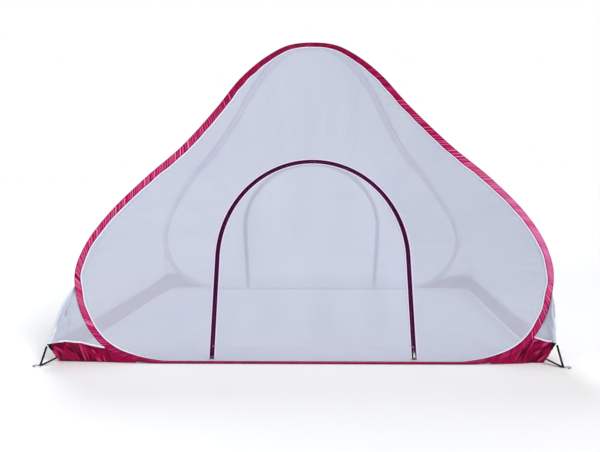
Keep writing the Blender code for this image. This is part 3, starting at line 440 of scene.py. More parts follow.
@dataclass
class Graph:
    """The nodes of one material, round its Principled shader."""

    material: bpy.types.Material

    def __post_init__(self) -> None:
        """Start from the material's own shader."""
        self.material.use_nodes = True
        self.tree = self.material.node_tree
        self.shader = self.tree.nodes["Principled BSDF"]

    def node(self, kind: str, settings: dict | None = None, values: dict | None = None,
             output: int | str = 0) -> Socket:
        """Add a node: its settings first, then the values and links of its sockets.

        Args:
            kind: The node's type.
            settings: Its settings, such as a Math node's operation.
            values: What its inputs hold or are linked to, by number or name.
            output: Which output to use.

        Returns:
            That output.
        """
        made = self.tree.nodes.new(kind)
        for name, setting in (settings or {}).items():
            setattr(made, name, setting)
        for key, value in (values or {}).items():
            self.feed(made.inputs[key], value)
        return Socket(self, made.outputs[output])

    def feed(self, target: bpy.types.NodeSocket, value: Value) -> None:
        """Link a socket, or set its value.

        Args:
            target: The input.
            value: A socket to link, or a number or colour to set.
        """
        if isinstance(value, Socket):
            self.tree.links.new(value.output, target)
        else:
            target.default_value = value

    def cloth_map(self) -> Socket:
        """The cloth's own distances: along, across."""
        return self.node("ShaderNodeUVMap", {"uv_map": CLOTH_MAP})

    def fold(self) -> Socket:
        """How far the cloth stands on the crest of a fold, from 0 to 1; on satin it also sets the painted
        highlights and painted shade.
        """
        return self.node("ShaderNodeAttribute", {"attribute_name": FOLD}, output="Fac")

    def place(self) -> Socket:
        """The place in the piece's own frame."""
        return self.node("ShaderNodeTexCoord", output="Object")

    def scaled(self, vector: Socket, factors: tuple[float, float, float]) -> Socket:
        """Stretch a vector by a factor for each axis."""
        return self.node("ShaderNodeVectorMath", {"operation": "MULTIPLY"}, {0: vector, 1: factors})

    def noise(self, vector: Socket, scale: float, detail: float = 2.0, roughness: float = 0.5) -> Socket:
        """A cloudy pattern from 0 to 1, with so many clouds in a metre."""
        values = {"Vector": vector, "Scale": scale, "Detail": detail, "Roughness": roughness}
        return self.node("ShaderNodeTexNoise", {}, values)

    def threads(self, vector: Socket, pitch: float, direction: str) -> Socket:
        """Straight ribs from 0 to 1, a pitch apart; the direction is the way across them."""
        settings = {"wave_type": "BANDS", "bands_direction": direction}
        return self.node("ShaderNodeTexWave", settings, {"Vector": vector, "Scale": TAU / 20 / pitch})

    def graded(self, value: Socket, low: float, high: float, start: float = 0.0, end: float = 1.0,
               smooth: bool = True) -> Socket:
        """Spread one stretch of values over another, and hold them at its ends.

        Args:
            value: What is read.
            low: Where the first stretch starts.
            high: Where it ends.
            start: What its start gives.
            end: What its end gives.
            smooth: Whether the way between is eased.

        Returns:
            The graded value.
        """
        settings = {"interpolation_type": "SMOOTHSTEP" if smooth else "LINEAR"}
        values = {"Value": value, "From Min": low, "From Max": high, "To Min": start, "To Max": end}
        return self.node("ShaderNodeMapRange", settings, values)

    def mix(self, factor: Value, first: Value, second: Value) -> Socket:
        """Mix two colours.

        Args:
            factor: 0 gives the first, 1 the second.
            first: A colour.
            second: Another.

        Returns:
            The mixed colour.
        """
        made = self.tree.nodes.new("ShaderNodeMix")
        made.data_type = "RGBA"
        for name, value in (("Factor_Float", factor), ("A_Color", first), ("B_Color", second)):
            self.feed(next(s for s in made.inputs if s.identifier == name), value)
        return Socket(self, next(s for s in made.outputs if s.identifier == "Result_Color"))

    def bump(self, height: Value, strength: float, depth: float) -> None:
        """Drive the shader's normal with a height from 0 to 1, where 1 stands for the depth."""
        values = {"Height": height, "Strength": strength, "Distance": depth}
        self.feed(self.shader.inputs["Normal"], self.node("ShaderNodeBump", {}, values))

    def dress(self, **values: Value) -> None:
        """Feed the shader's sockets, named with _ for a space."""
        for name, value in values.items():
            self.feed(self.shader.inputs[name.replace("_", " ")], value)


Colour = tuple[float, float, float, float]


def shade(red: float, green: float, blue: float) -> Colour:
    """A colour in linear light from its screen values of 0 to 255."""
    return (*(((level / 255 + 0.055) / 1.055) ** 2.4 if level > 10 else level / 255 / 12.92
              for level in (red, green, blue)), 1.0)


# Finishes


@dataclass(frozen=True)
class Finish:
    """What every finish has: a name, the frame's slot it stands for, and its colour."""

    name: str
    slot: str
    colour: Colour
    accent: Colour
    roughness: float = 0.5

    def build(self, graph: Graph) -> None:
        """Give the material its nodes; each kind of finish has its own."""
        graph.dress(Base_Color=self.colour, Roughness=self.roughness)

    def material(self) -> bpy.types.Material:
        """The finish's material, made once.

        Returns:
            The material.
        """
        found = bpy.data.materials.get(self.name)
        if found is None:
            found = bpy.data.materials.new(self.name)
            self.build(Graph(found))
        return found


@dataclass(frozen=True)
class Satin(Finish):
    """Thin shiny polyester satin, with painted shade in its folds and a painted highlight on their crests."""

    # The colour of the painted highlight on the crests of the folds.
    crest: Colour = shade(224, 130, 182)
    gloss_tint: Colour = (1.0, 0.22, 0.52, 1.0)
    gloss: float = 0.30
    sheen: float = 0.04
    crease_scale: float = 38.0
    thread_pitch: float = 0.0009

    def build(self, graph: Graph) -> None:
        """Fine threads, soft creases, uneven sheen, painted shade in the folds and painted highlights on their
        crests.

        Args:
            graph: The material's nodes.
        """
        cloth = graph.cloth_map()
        fold = graph.fold()
        tone = graph.noise(graph.scaled(cloth, (2.2, 2.2, 1.0)), 1.0, 2.0)
        creases = abs(graph.noise(graph.scaled(cloth, (0.55, 1.4, 1.0)), self.crease_scale, 3.0) * 2.0 - 1.0)
        threads = graph.threads(cloth, self.thread_pitch, "X")
        # Painted shade in the fold valleys and a painted highlight on the crests, both read from the Fold
        # attribute.
        deep = graph.graded(fold, 0.45, 0.05)
        high = graph.graded(fold + tone * 0.2 - 0.10, 0.48, 1.0, 0.0, 0.9, smooth=False)
        body = graph.mix(deep * 0.9, self.colour, self.accent)
        graph.dress(
            Base_Color=graph.mix(high, body, self.crest),
            Roughness=self.roughness + 0.14 * tone - 0.06 * threads,
            Sheen_Weight=self.sheen, Sheen_Tint=self.gloss_tint, Sheen_Roughness=0.35,
            Specular_IOR_Level=self.gloss, Specular_Tint=self.gloss_tint,
        )
        graph.bump(creases * 0.85 + threads * 0.15, 0.5, 0.0022)


@dataclass(frozen=True)
class Netting(Finish):
    """Fine polyester net that lets about half of the light through."""

    cover: float = 0.70
    thread_pitch: float = 0.0016
    thread_cover: float = 0.12
    cloud_cover: float = 0.06
    pleat_cover: float = 0.16
    pleat_colour: Colour = shade(226, 232, 246)

    def build(self, graph: Graph) -> None:
        """Hexagonal holes too fine to see from afar, and thread that lies denser here and there.

        Args:
            graph: The material's nodes.
        """
        cloth = graph.cloth_map()
        cells = graph.node(
            "ShaderNodeTexVoronoi", {"feature": "DISTANCE_TO_EDGE"},
            {"Vector": cloth, "Scale": 1 / self.thread_pitch, "Randomness": 0.25},
        )
        threads = graph.graded(cells, 0.05, 0.32, 1.0, 0.0)
        cloud = graph.noise(graph.scaled(cloth, (1.6, 0.9, 1.0)), 2.4, 3.0)
        streaks = graph.noise(graph.scaled(cloth, (14.0, 1.2, 1.0)), 1.0, 2.0)
        pleat = graph.graded(graph.fold(), EVEN_FOLD, 1.0, smooth=False)
        density = self.cover + self.thread_cover * (threads - 0.5) + self.cloud_cover * (cloud + streaks - 1.0)
        density = density + self.pleat_cover * pleat
        body = graph.mix(cloud, self.colour, self.accent)
        colour = graph.mix(pleat, body, self.pleat_colour)
        graph.dress(Base_Color=colour, Roughness=self.roughness, Alpha=density, Specular_IOR_Level=0.2)
        graph.bump(threads, 0.3, 0.0003)


@dataclass(frozen=True)
class Woven(Finish):
    """Tape, piping or elastic with ribs across or along it."""

    rib_pitch: float = 0.0010
    rib_direction: str = "DIAGONAL"
    rib_depth: float = 0.0003
    stitch_pitch: float = 0.0
    stitch_line: float = 0.0035
    gloss: float = 0.3
    fuzz: float = 0.15

    def build(self, graph: Graph) -> None:
        """Ribs, a little soiling and, where there is one, a row of stitches.

        Args:
            graph: The material's nodes.
        """
        cloth = graph.cloth_map()
        ribs = graph.threads(cloth, self.rib_pitch, self.rib_direction)
        soil = graph.noise(graph.scaled(cloth, (9.0, 40.0, 1.0)), 1.0, 3.0)
        height = ribs
        if self.stitch_pitch:
            height = ribs * 0.5 + self.stitches(graph, cloth)
        colour = graph.mix(soil * 0.7 + ribs * 0.2, self.colour, self.accent)
        graph.dress(
            Base_Color=colour, Roughness=self.roughness + 0.12 * soil, Specular_IOR_Level=self.gloss,
            Sheen_Weight=self.fuzz,
        )
        graph.bump(height, 0.6, self.rib_depth)

    def stitches(self, graph: Graph, cloth: Socket) -> Socket:
        """Dents of a lockstitch along the tape.

        Args:
            graph: The material's nodes.
            cloth: The cloth's own distances.

        Returns:
            1 on a stitch and 0 beside it.
        """
        parts = graph.node("ShaderNodeSeparateXYZ", {}, {0: cloth})
        across = graph.node("ShaderNodeSeparateXYZ", {}, {0: cloth}, "Y")
        row = graph.graded(abs(across - self.stitch_line), 0.0002, 0.0006, 1.0, 0.0)
        beat = graph.node("ShaderNodeMath", {"operation": "PINGPONG"}, {0: parts, 1: self.stitch_pitch / 2})
        return row * graph.graded(beat, self.stitch_pitch * 0.08, self.stitch_pitch * 0.18)


@dataclass(frozen=True)
class Metal(Finish):
    """Bare or painted metal with fine scratches."""

    metallic: float = 1.0
    coat: float = 0.0
    gloss: float = 0.5
    scratch_scale: float = 900.0

    def build(self, graph: Graph) -> None:
        """Drawn scratches and worn patches.

        Args:
            graph: The material's nodes.
        """
        spot = graph.place()
        scratches = graph.noise(graph.scaled(spot, (1.0, 0.2, 0.2)), self.scratch_scale, 3.0)
        wear = graph.noise(spot, 160.0, 4.0, 0.65)
        worn = graph.graded(wear, 0.58, 0.72, smooth=False)
        graph.dress(
            Base_Color=graph.mix(worn * 0.6, self.colour, self.accent), Metallic=self.metallic,
            Roughness=self.roughness + 0.20 * scratches + 0.10 * worn, Coat_Weight=self.coat,
            Coat_Roughness=0.15, Specular_IOR_Level=self.gloss,
        )
        graph.bump(scratches, 0.25, 0.0002)


# Each satin's accent is the painted shade of its folds, and its crest colour the painted highlight on them.
SATIN = Satin("crimson_satin", "satin", shade(170, 0, 78), shade(98, 0, 40), 0.30)
BAND_SATIN = Satin(
    "crimson_band_satin", "satin", shade(138, 0, 54), shade(62, 0, 16), 0.26, shade(204, 66, 132),
    crease_scale=60.0,
)
NET = Netting("lavender_net", "net", shade(185, 194, 214), shade(196, 199, 213), 0.85)
NET_HEM = Netting("white_net_hem", "net", shade(206, 212, 232), shade(216, 218, 236), 0.85, cover=0.30)
PIPING = Woven("white_piping", "piping", shade(236, 229, 242), shade(214, 206, 226), 0.6, stitch_pitch=0.0032)
ZIP_TAPE = Woven("plum_zip_tape", "zip_tape", shade(74, 0, 62), shade(52, 0, 46), 0.75, rib_pitch=0.0007,
                 rib_direction="X", rib_depth=0.0002, gloss=0.10, fuzz=0.0)
ZIP_COIL = Woven("plum_zip_coil", "zip_tape", shade(60, 0, 50), shade(40, 0, 34), 0.60, rib_pitch=0.0004,
                 rib_depth=0.0001, gloss=0.06, fuzz=0.0)
ZIP_EDGE = Woven("lilac_zip_edge", "piping", shade(230, 212, 240), shade(206, 188, 222), 0.7,
                 stitch_pitch=0.0032)
STEEL = Metal("blued_spring_steel", "spring_steel", shade(168, 170, 174), shade(120, 122, 128), 0.25)
ENAMEL = Metal("black_enamel", "black_enamel", shade(16, 16, 18), shade(46, 44, 44), 0.38, metallic=0.0,
               coat=0.05, gloss=0.22)
NICKEL = Metal("pale_nickel", "nickel", shade(222, 214, 216), shade(190, 180, 184), 0.22)
ELASTIC = Woven("black_elastic", "elastic", shade(15, 15, 17), shade(7, 7, 8), 0.8, rib_pitch=0.0012,
                rib_direction="Y", rib_depth=0.0004, gloss=0.12, fuzz=0.0)


# Placing


def placed(name: str, data: bpy.types.ID) -> Piece:
    """Make an object and put it in the scene.

    Args:
        name: Its name.
        data: Its mesh, camera or light.

    Returns:
        The object.
    """
    made = bpy.data.objects.new(name, data)
    bpy.context.scene.collection.objects.link(made)
    return made


def set_out(mesh: Mesh, name: str, finish: Finish, turn: Matrix) -> Piece:
    """Make a piece of the tent from a mesh.

    Args:
        mesh: Its mesh, which may be shared.
        name: The piece's name.
        finish: What it is made of.
        turn: The turn or mirroring that takes the mesh to its place.

    Returns:
        The piece, with its place in its mesh.
    """
    own = mesh.copy()
    own.transform(turn)
    if turn.determinant() < 0:
        own.flip_normals()
    own.materials.clear()
    own.materials.append(finish.material())
    piece = placed(name, own)
    log.info("%s: %d faces", name, len(own.polygons))
    return piece


def dress_node(node: str, finish: Finish) -> None:
    """Give a solid of the frame that stays in sight its finish.

    Args:
        node: The solid's name.
        finish: What it is made of.
    """
    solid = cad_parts[node]
    solid.data.materials.clear()
    solid.data.materials.append(finish.material())
    log.info("%s keeps its solid", node)


# The shapes


@dataclass(frozen=True)
class DoorPlane:
    """The leaning plane of a door, with the outline of its zip."""

    half_width: float = 0.420
    leg_length: float = 0.455
    arch_rise: float = 0.470
    lean: float = math.radians(26.6)
    foot_y: float = -0.8576
    foot_z: float = 0.0035
    hinge_height: float = 0.056
    net_edge: float = 0.0075
    surround: float = 0.020

    def world(self, across: Points, up: Points, out: Points | float = 0.0) -> Points:
        """Take places in the plane to the world.

        Args:
            across: Along X.
            up: Up the slope from its foot.
            out: Out of its front.

        Returns:
            The points.
        """
        y = self.foot_y + up * math.sin(self.lean) - out * math.cos(self.lean)
        z = self.foot_z + up * math.cos(self.lean) + out * math.sin(self.lean)
        return np.stack(np.broadcast_arrays(across, y, z), axis=-1)

    def ray(self, angle: float, offset: float, bottom: float) -> tuple[float, float]:
        """Find where a ray from the middle of the arch meets the outline.

        Args:
            angle: The ray's direction, 0 to the right and up from there.
            offset: How far the outline is moved out from the middle of the zip.
            bottom: The height of the outline's level bottom.

        Returns:
            The place across and up the plane.
        """
        wide, high = self.half_width + offset, self.arch_rise + offset
        if angle >= 0:
            reach = 1 / math.hypot(math.cos(angle) / wide, math.sin(angle) / high)
            return reach * math.cos(angle), self.leg_length + reach * math.sin(angle)
        up = self.leg_length + wide * math.tan(angle) * math.copysign(1, math.cos(angle))
        if up >= bottom:
            return math.copysign(wide, math.cos(angle)), up
        reach = (bottom - self.leg_length) / math.sin(angle)
        return reach * math.cos(angle), bottom

    def arch(self, bottom: float, pitch: float) -> Run:
        """Walk up one leg of the zip, round its arch and down the other.

        Args:
            bottom: Where the legs start.
            pitch: The distance from station to station.

        Returns:
            Places in the plane, and the directions away from the door.
        """
        turns = np.linspace(0, math.pi, 721)
        bend = np.stack((self.half_width * np.cos(turns),
                         self.leg_length + self.arch_rise * np.sin(turns)), axis=1)
        foot = np.array(((self.half_width, bottom),))
        line = np.concatenate((foot, bend, foot * (-1, 1)))
        way = travelled(line)
        places = resampled(line, np.linspace(0, way[-1], round(way[-1] / pitch) + 1))
        inside = np.array((0.0, self.leg_length))
        away = places - inside
        away[:, 1] = np.where(away[:, 1] > 0, away[:, 1] * (self.half_width / self.arch_rise) ** 2, 0.0)
        return places, unit(away)

    def leg(self, low: float, high: float, pitch: float) -> Run:
        """Walk up a part of the right leg of the zip.

        Args:
            low: Where it starts.
            high: Where it ends.
            pitch: The distance from station to station.

        Returns:
            Places in the plane, and the directions away from the door.
        """
        up = np.linspace(low, high, max(3, round((high - low) / pitch) + 1))
        places = np.stack((np.full(len(up), self.half_width), up), axis=1)
        return places, np.tile((1.0, 0.0), (len(up), 1))


@dataclass
class HoopLine:
    """The centre line of the front hoop and the directions of its sleeve, closely spaced."""

    plane: DoorPlane
    stations: int = 2200
    wire_radius: float = 0.0012
    sleeve_half: float = 0.0035
    sleeve_width: float = 0.0300
    band_height: float = 0.083
    twist_start_share: float = 0.600
    twist_end_share: float = 0.880
    sway: float = 0.020
    sway_height: float = 0.770
    sway_reach: float = 0.460
    foot_drawn: float = 0.0040
    side_drawn: float = 0.0045
    side_height: float = 0.04
    top_eased: float = 0.0060
    ease_height: float = 0.50
    ease_reach: float = 0.45
    uneven: float = 0.0009
    spline_steps: int = 80
    outline_shares: tuple[tuple[float, float, float], ...] = (
        (0.000, 0.000, 0.000), (0.357, 0.000, 0.000), (0.633, 0.000, 0.000), (0.776, 0.012, 0.003),
        (0.878, 0.047, 0.014), (0.954, 0.107, 0.038), (0.995, 0.182, 0.054), (1.000, 0.258, 0.056),
        (0.960, 0.334, 0.066), (0.886, 0.416, 0.125), (0.764, 0.517, 0.268), (0.619, 0.614, 0.397),
        (0.465, 0.746, 0.588), (0.350, 0.860, 0.755), (0.232, 0.942, 0.893), (0.122, 0.988, 0.973),
        (0.000, 1.000, 1.000),
    )

    def __post_init__(self) -> None:
        """Read the driving sizes from the frame's wire and lay out the stations."""
        low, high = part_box("front_hoop_wire")
        radius = self.wire_radius
        self.half_width = (high.x - low.x) / 2 - radius
        self.half_depth = -low.y - radius
        self.rise = high.z - radius - self.sleeve_half
        self.lean = self.half_depth + (high.y - radius)
        self.centres = self.lay_stations()
        self.length = float(np.linalg.norm(self.centres[1] - self.centres[0])) * self.stations
        self.way = np.linspace(0, self.length, self.stations + 1)
        self.tangents = unit(np.roll(self.centres, -1, axis=0) - np.roll(self.centres, 1, axis=0))
        up = (self.centres[:, 2] - self.plane.foot_z) / math.cos(self.plane.lean) - self.plane.leg_length
        self.angles = np.arctan2(up, self.centres[:, 0])
        self.aim()

    def lay_stations(self) -> Points:
        """The centre line from the middle of the base run to the right, over the apex and back.

        Returns:
            A point for each station.
        """
        shares = np.array(self.outline_shares)
        right = np.stack((shares[:, 0] * self.half_width, -self.half_depth + shares[:, 2] * self.lean,
                          self.sleeve_half + shares[:, 1] * self.rise), axis=1)
        ring = np.concatenate((right, right[-2:0:-1] * (-1, 1, 1)))
        line = self.closed_spline(ring)
        line[:, 2] = np.maximum(line[:, 2], self.sleeve_half)
        line[:, 1] = np.maximum(line[:, 1], -self.half_depth)
        line = np.concatenate((line, line[:1]))
        return resampled(line, np.linspace(0, travelled(line)[-1], self.stations + 1)[:-1])

    def closed_spline(self, ring: Points) -> Points:
        """Draw a centripetal Catmull-Rom curve.

        Args:
            ring: A closed ring of points.

        Returns:
            The curve's points, a fixed number for each stretch.
        """
        p0, p1, p2, p3 = (np.roll(ring, -k, axis=0)[:, None] for k in (-1, 0, 1, 2))
        t1 = np.sqrt(np.linalg.norm(p1 - p0, axis=-1, keepdims=True))
        t2 = t1 + np.sqrt(np.linalg.norm(p2 - p1, axis=-1, keepdims=True))
        t3 = t2 + np.sqrt(np.linalg.norm(p3 - p2, axis=-1, keepdims=True))
        t = t1 + (t2 - t1) * (np.arange(self.spline_steps) / self.spline_steps)[None, :, None]
        a1 = p0 * (t1 - t) / t1 + p1 * t / t1
        a2 = p1 * (t2 - t) / (t2 - t1) + p2 * (t - t1) / (t2 - t1)
        a3 = p2 * (t3 - t) / (t3 - t2) + p3 * (t - t2) / (t3 - t2)
        b1 = a1 * (t2 - t) / t2 + a2 * t / t2
        b2 = a2 * (t3 - t) / (t3 - t1) + a3 * (t - t1) / (t3 - t1)
        return (b1 * (t2 - t) / (t2 - t1) + b2 * (t - t1) / (t2 - t1)).reshape(-1, 3)

    def aim(self) -> None:
        """Give each station its ways inward along the net and outward to the front.

        The base run lies flat, and the sleeve twists up into the panel beyond it.
        """
        edge, hinge = self.plane.net_edge, self.plane.hinge_height
        aims = np.array([self.plane.ray(angle, edge, hinge) for angle in self.angles])
        aim = self.plane.world(aims[:, 0], aims[:, 1]) - self.centres
        panel = unit(aim - self.tangents * dots(aim, self.tangents))
        stand = np.abs(self.centres[:, 0]) / self.half_width - self.twist_start_share
        stand = stand / (self.twist_end_share - self.twist_start_share)
        high = self.centres[:, 2] - self.sleeve_half > self.band_height
        stand = smoothstep(np.where(high, 1.0, stand))[:, None]
        mixed = panel * stand + np.array((0.0, 1.0, 0.0)) * (1 - stand)
        self.inward = unit(mixed - self.tangents * dots(mixed, self.tangents))
        self.outward = unit(np.cross(self.tangents, self.inward))

    def swayed(self, places: Points, share: Points | float = 1.0) -> Points:
        """Move places to the right as the hoop's flanks are at their height.

        Args:
            places: The points.
            share: How far each one keeps to the hoop.

        Returns:
            The moved points.
        """
        lift = np.minimum(np.abs(places[..., 2] - self.sway_height) / self.sway_reach, 1.0)
        moved = np.array(places, dtype=float)
        moved[..., 0] += self.sway * share * (1 - lift * lift) ** 2
        return moved

    def between(self, values: Points, spots: Points) -> Points:
        """Take what is known at the stations to any distances along the line.

        Args:
            values: One value, or one vector, for each station.
            spots: Distances along the line.

        Returns:
            The values there.
        """
        place = spots / self.length * self.stations
        before = np.floor(place).astype(int)
        part = place - before
        if values.ndim > 1:
            part = part[..., None]
        return values[before % self.stations] * (1 - part) + values[(before + 1) % self.stations] * part

    def at(self, along: Points, out: Points | float, spots: Points | None = None) -> Points:
        """Places beside the wire.

        Args:
            along: Distances inward for each station and column.
            out: Distances outward for each station and column.
            spots: Where along the line each column's places are, if not at the stations.

        Returns:
            The points, station by station.
        """
        along, out = np.broadcast_arrays(np.atleast_2d(along), out)
        if spots is None:
            frames = (self.centres[:, None], self.inward[:, None], self.outward[:, None])
        else:
            frames = tuple(self.between(values, spots) for values in (self.centres, self.inward, self.outward))
        return frames[0] + along[..., None] * frames[1] + out[..., None] * frames[2]

    @cached_property
    def sleeve_reach(self) -> Points:
        """How far the gathered sleeve reaches in from the wire at each station.

        Returns:
            The distances.
        """
        height = self.centres[:, 2]
        drawn = self.foot_drawn + self.side_drawn * smoothstep(height / self.side_height)
        eased = self.top_eased * smoothstep((height - self.ease_height) / self.ease_reach)
        uneven = self.uneven * Drift(7, self.length, 0.10, 0.5).at(self.way[:-1]) * smoothstep(height / 0.10)
        return self.sleeve_width - drawn + eased + uneven


@dataclass
class HoopCloth:
    """What is sewn round a hoop: the satin sleeve and the white piping."""

    line: HoopLine
    wall: float = 0.0010
    slot_half: float = 0.0025
    lip_half: float = 0.0020
    slit_half: float = 0.0010
    channel: float = 0.0060
    pleat_pitch: float = 0.0145
    pleat_height: float = 0.0019
    pleat_slant: float = 0.90
    piping_gap: float = 0.0004
    piping_width: float = 0.0055
    piping_back: float = 0.0010
    piping_thickness: float = 0.0012
    cut_width: float = 0.074
    lining_width: float = 0.018
    lining_inset: float = 0.0008
    lining_gap: float = 0.0004
    seat: float = 0.0003
    ground: float = 0.0004
    # Painted light round the hoop: at each share of the way round, the base of the painted light, paler where
    # the hoop is lit and darker at the apex, and how strong the painted highlights and shade on its pleats are.
    painted_light_tones: tuple[tuple[float, float, float], ...] = (
        (0.00, 0.30, 0.10), (0.12, 0.24, 0.25), (0.15, 0.28, 0.42), (0.175, 0.52, 0.40), (0.20, 0.78, 0.20),
        (0.225, 0.90, 0.12), (0.26, 0.82, 0.24), (0.30, 0.68, 0.40), (0.34, 0.46, 0.50), (0.38, 0.40, 0.40),
        (0.42, 0.30, 0.32), (0.46, 0.16, 0.26), (0.50, 0.08, 0.22), (0.54, 0.12, 0.26), (0.58, 0.20, 0.32),
        (0.62, 0.30, 0.44), (0.66, 0.46, 0.54), (0.70, 0.50, 0.52), (0.74, 0.50, 0.50), (0.78, 0.58, 0.56),
        (0.80, 0.62, 0.60), (0.835, 0.56, 0.56), (0.86, 0.24, 0.40), (0.90, 0.20, 0.30), (1.00, 0.30, 0.10),
    )

    def laid(self, grid: Points) -> Points:
        """Sway the cloth with the hoop and lay it on the ground.

        Args:
            grid: Points beside the wire.

        Returns:
            The points, none of them in the ground.
        """
        swayed = self.line.swayed(grid)
        swayed[:, :, 2] = np.maximum(swayed[:, :, 2], self.ground)
        return swayed

    def profile(self) -> tuple[Points, Points, Points]:
        """The folded satin's section: along, out, and 1 where pleats may stand.

        Returns:
            Three rows of values, point by point round the section.
        """
        turns = np.linspace(math.pi / 2, 3 * math.pi / 2, 9)
        half = self.slot_half + self.wall
        width = self.line.sleeve_width
        face = np.linspace(0.002, width, 17)[1:]
        fall = smoothstep((face - 0.006) / (width - 0.012))
        outer = half * (1 - fall) + self.lip_half * fall
        crown = 0.0012 * np.sin(math.pi * np.clip((face - 0.009) / 0.018, 0, 1))
        inner_face = np.linspace(width, 0.004, 7)
        share = smoothstep((inner_face - 0.010) / 0.014)
        inner = self.slot_half * (1 - share) + self.slit_half * share
        back = np.linspace(3 * math.pi / 2, math.pi / 2, 5)
        along = np.concatenate((
            face[::-1], half * np.cos(turns), face, inner_face, self.slot_half * np.cos(back),
            inner_face[::-1],
        ))
        out = np.concatenate((
            (outer + crown)[::-1], half * np.sin(turns), -(outer + crown), -inner,
            self.slot_half * np.sin(back), inner[::-1],
        ))
        rise = smoothstep((face + 0.002) / 0.006) * (1 - 0.75 * smoothstep((face - 0.022) / 0.007))
        bend = np.full(len(turns), 0.5)
        pleated = np.concatenate((rise[::-1], bend, -rise, np.zeros(len(inner_face) * 2 + len(back))))
        pleated[len(face) : len(face) + len(turns)] *= np.sign(np.sin(turns) + 0.001)
        return along, out, pleated

    def sleeve(self) -> Mesh:
        """The satin sleeve, with the slanting pleats that wind round it all one way.

        Returns:
            A mesh that closes both ways.
        """
        along, out, pleated = self.profile()
        line = self.line
        where = line.way[:-1]
        spots = where[:, None] + self.pleat_slant * along
        width = line.between(line.sleeve_reach, spots)
        beyond = np.maximum(along - self.channel, 0.0)
        reach = along - beyond * (1 - (width - self.channel) / (line.sleeve_width - self.channel))
        slip = Drift(3, line.length, 0.16, 1.2).at(where) * 0.010
        slip = slip + Drift(4, line.length, 0.05, 0.3).at(where) * 0.003
        turn = TAU * round(line.length / self.pleat_pitch) * (where + slip) / line.length
        turn += 0.8 * Drift(7, line.length, 0.03, 0.12).at(where)
        strength = 0.84 + 0.16 * Drift(8, line.length, 0.022, 0.09).at(where)
        wave = 0.5 + 0.5 * np.sin(turn + 0.75 * np.sin(turn))
        fine = 0.5 + 0.5 * np.sin(1.5 * turn + 1.4 * Drift(10, line.length, 0.04, 0.20).at(where))
        ridge = ((0.86 * wave ** 1.3 + 0.14 * fine) * strength)[:, None]
        # Read the painted light and its strength on the pleats at each point of the sleeve.
        shares, bases, contrasts = np.array(self.painted_light_tones).T
        spot = spots / line.length % 1.0
        base, contrast = np.interp(spot, shares, bases), np.interp(spot, shares, contrasts)
        contrast = contrast * (1 + 0.35 * Drift(5, line.length, 0.06, 0.4).at(where))[:, None]
        depth = np.clip(0.25 + 1.5 * contrast, 0.12, 1.0)
        back_lag = np.where(out < 0, 0.8, 1.0)
        grid = line.at(reach, out + pleated * self.pleat_height * depth * ridge * back_lag, spots)
        grid = self.laid(grid)
        # Painted shade: darker near the seam at the sleeve's inner edge and round the roll at the wire.
        seam_shade = smoothstep((reach - width + 0.0045) / 0.0035)
        rolled = smoothstep((0.002 - reach) / 0.004)
        # The Fold value paints light: the base tone round the hoop and a random tone, painted highlights on the
        # pleats' ridges, and painted shade between them, at the seam and at the roll.
        crest = base + 0.07 * Drift(6, line.length, 0.05, 0.5).at(where)[:, None]
        crest = crest + contrast * 2.0 * (ridge - 0.36)
        crest -= 0.40 * seam_shade + 0.16 * rolled
        return woven_mesh("sleeve", grid, line.way, girth(along, out), (True, True), np.clip(crest, 0, 1))

    def piping(self) -> Mesh:
        """The white piping: a folded tape, a little fuller along its middle.

        Returns:
            A mesh that closes both ways.
        """
        line = self.line
        shares = np.array((0.0, 0.02, 0.10, 0.35, 0.65, 0.90, 0.98, 1.0))
        bulge = np.sin(math.pi * shares) ** 0.35
        front = self.piping_back + self.seat + self.piping_thickness * bulge
        across = self.piping_gap + self.piping_width * there_and_back(shares)
        out = np.concatenate((front, np.full(len(shares) - 2, self.piping_back)))
        lift = np.concatenate((bulge, np.zeros(len(shares) - 2)))
        ripple = 0.5 + 0.5 * Drift(9, line.length, 0.008, 0.03).at(line.way[:-1])
        along = line.sleeve_reach[:, None] + across
        grid = self.laid(line.at(along, out + self.seat * lift * ripple[:, None]))
        return woven_mesh("piping", grid, line.way, girth(across, out), (True, True))

    def lining(self) -> Mesh:
        """The white tape that lines the sleeve's inner face.

        Returns:
            A strip that closes to a loop.
        """
        line = self.line
        shares = np.linspace(0, 1, 7)
        along = self.channel + (line.sleeve_reach - self.channel - self.lining_inset)[:, None] * shares
        back = self.slot_half + self.wall + self.pleat_height * 0.8 + self.seat
        far = self.lip_half + self.pleat_height * 0.3 + self.lining_gap
        out = -(back * (1 - shares) + far * shares)
        grid = self.laid(line.at(along, out))
        return woven_mesh("lining", grid, line.way, shares * self.lining_width, (True, False))


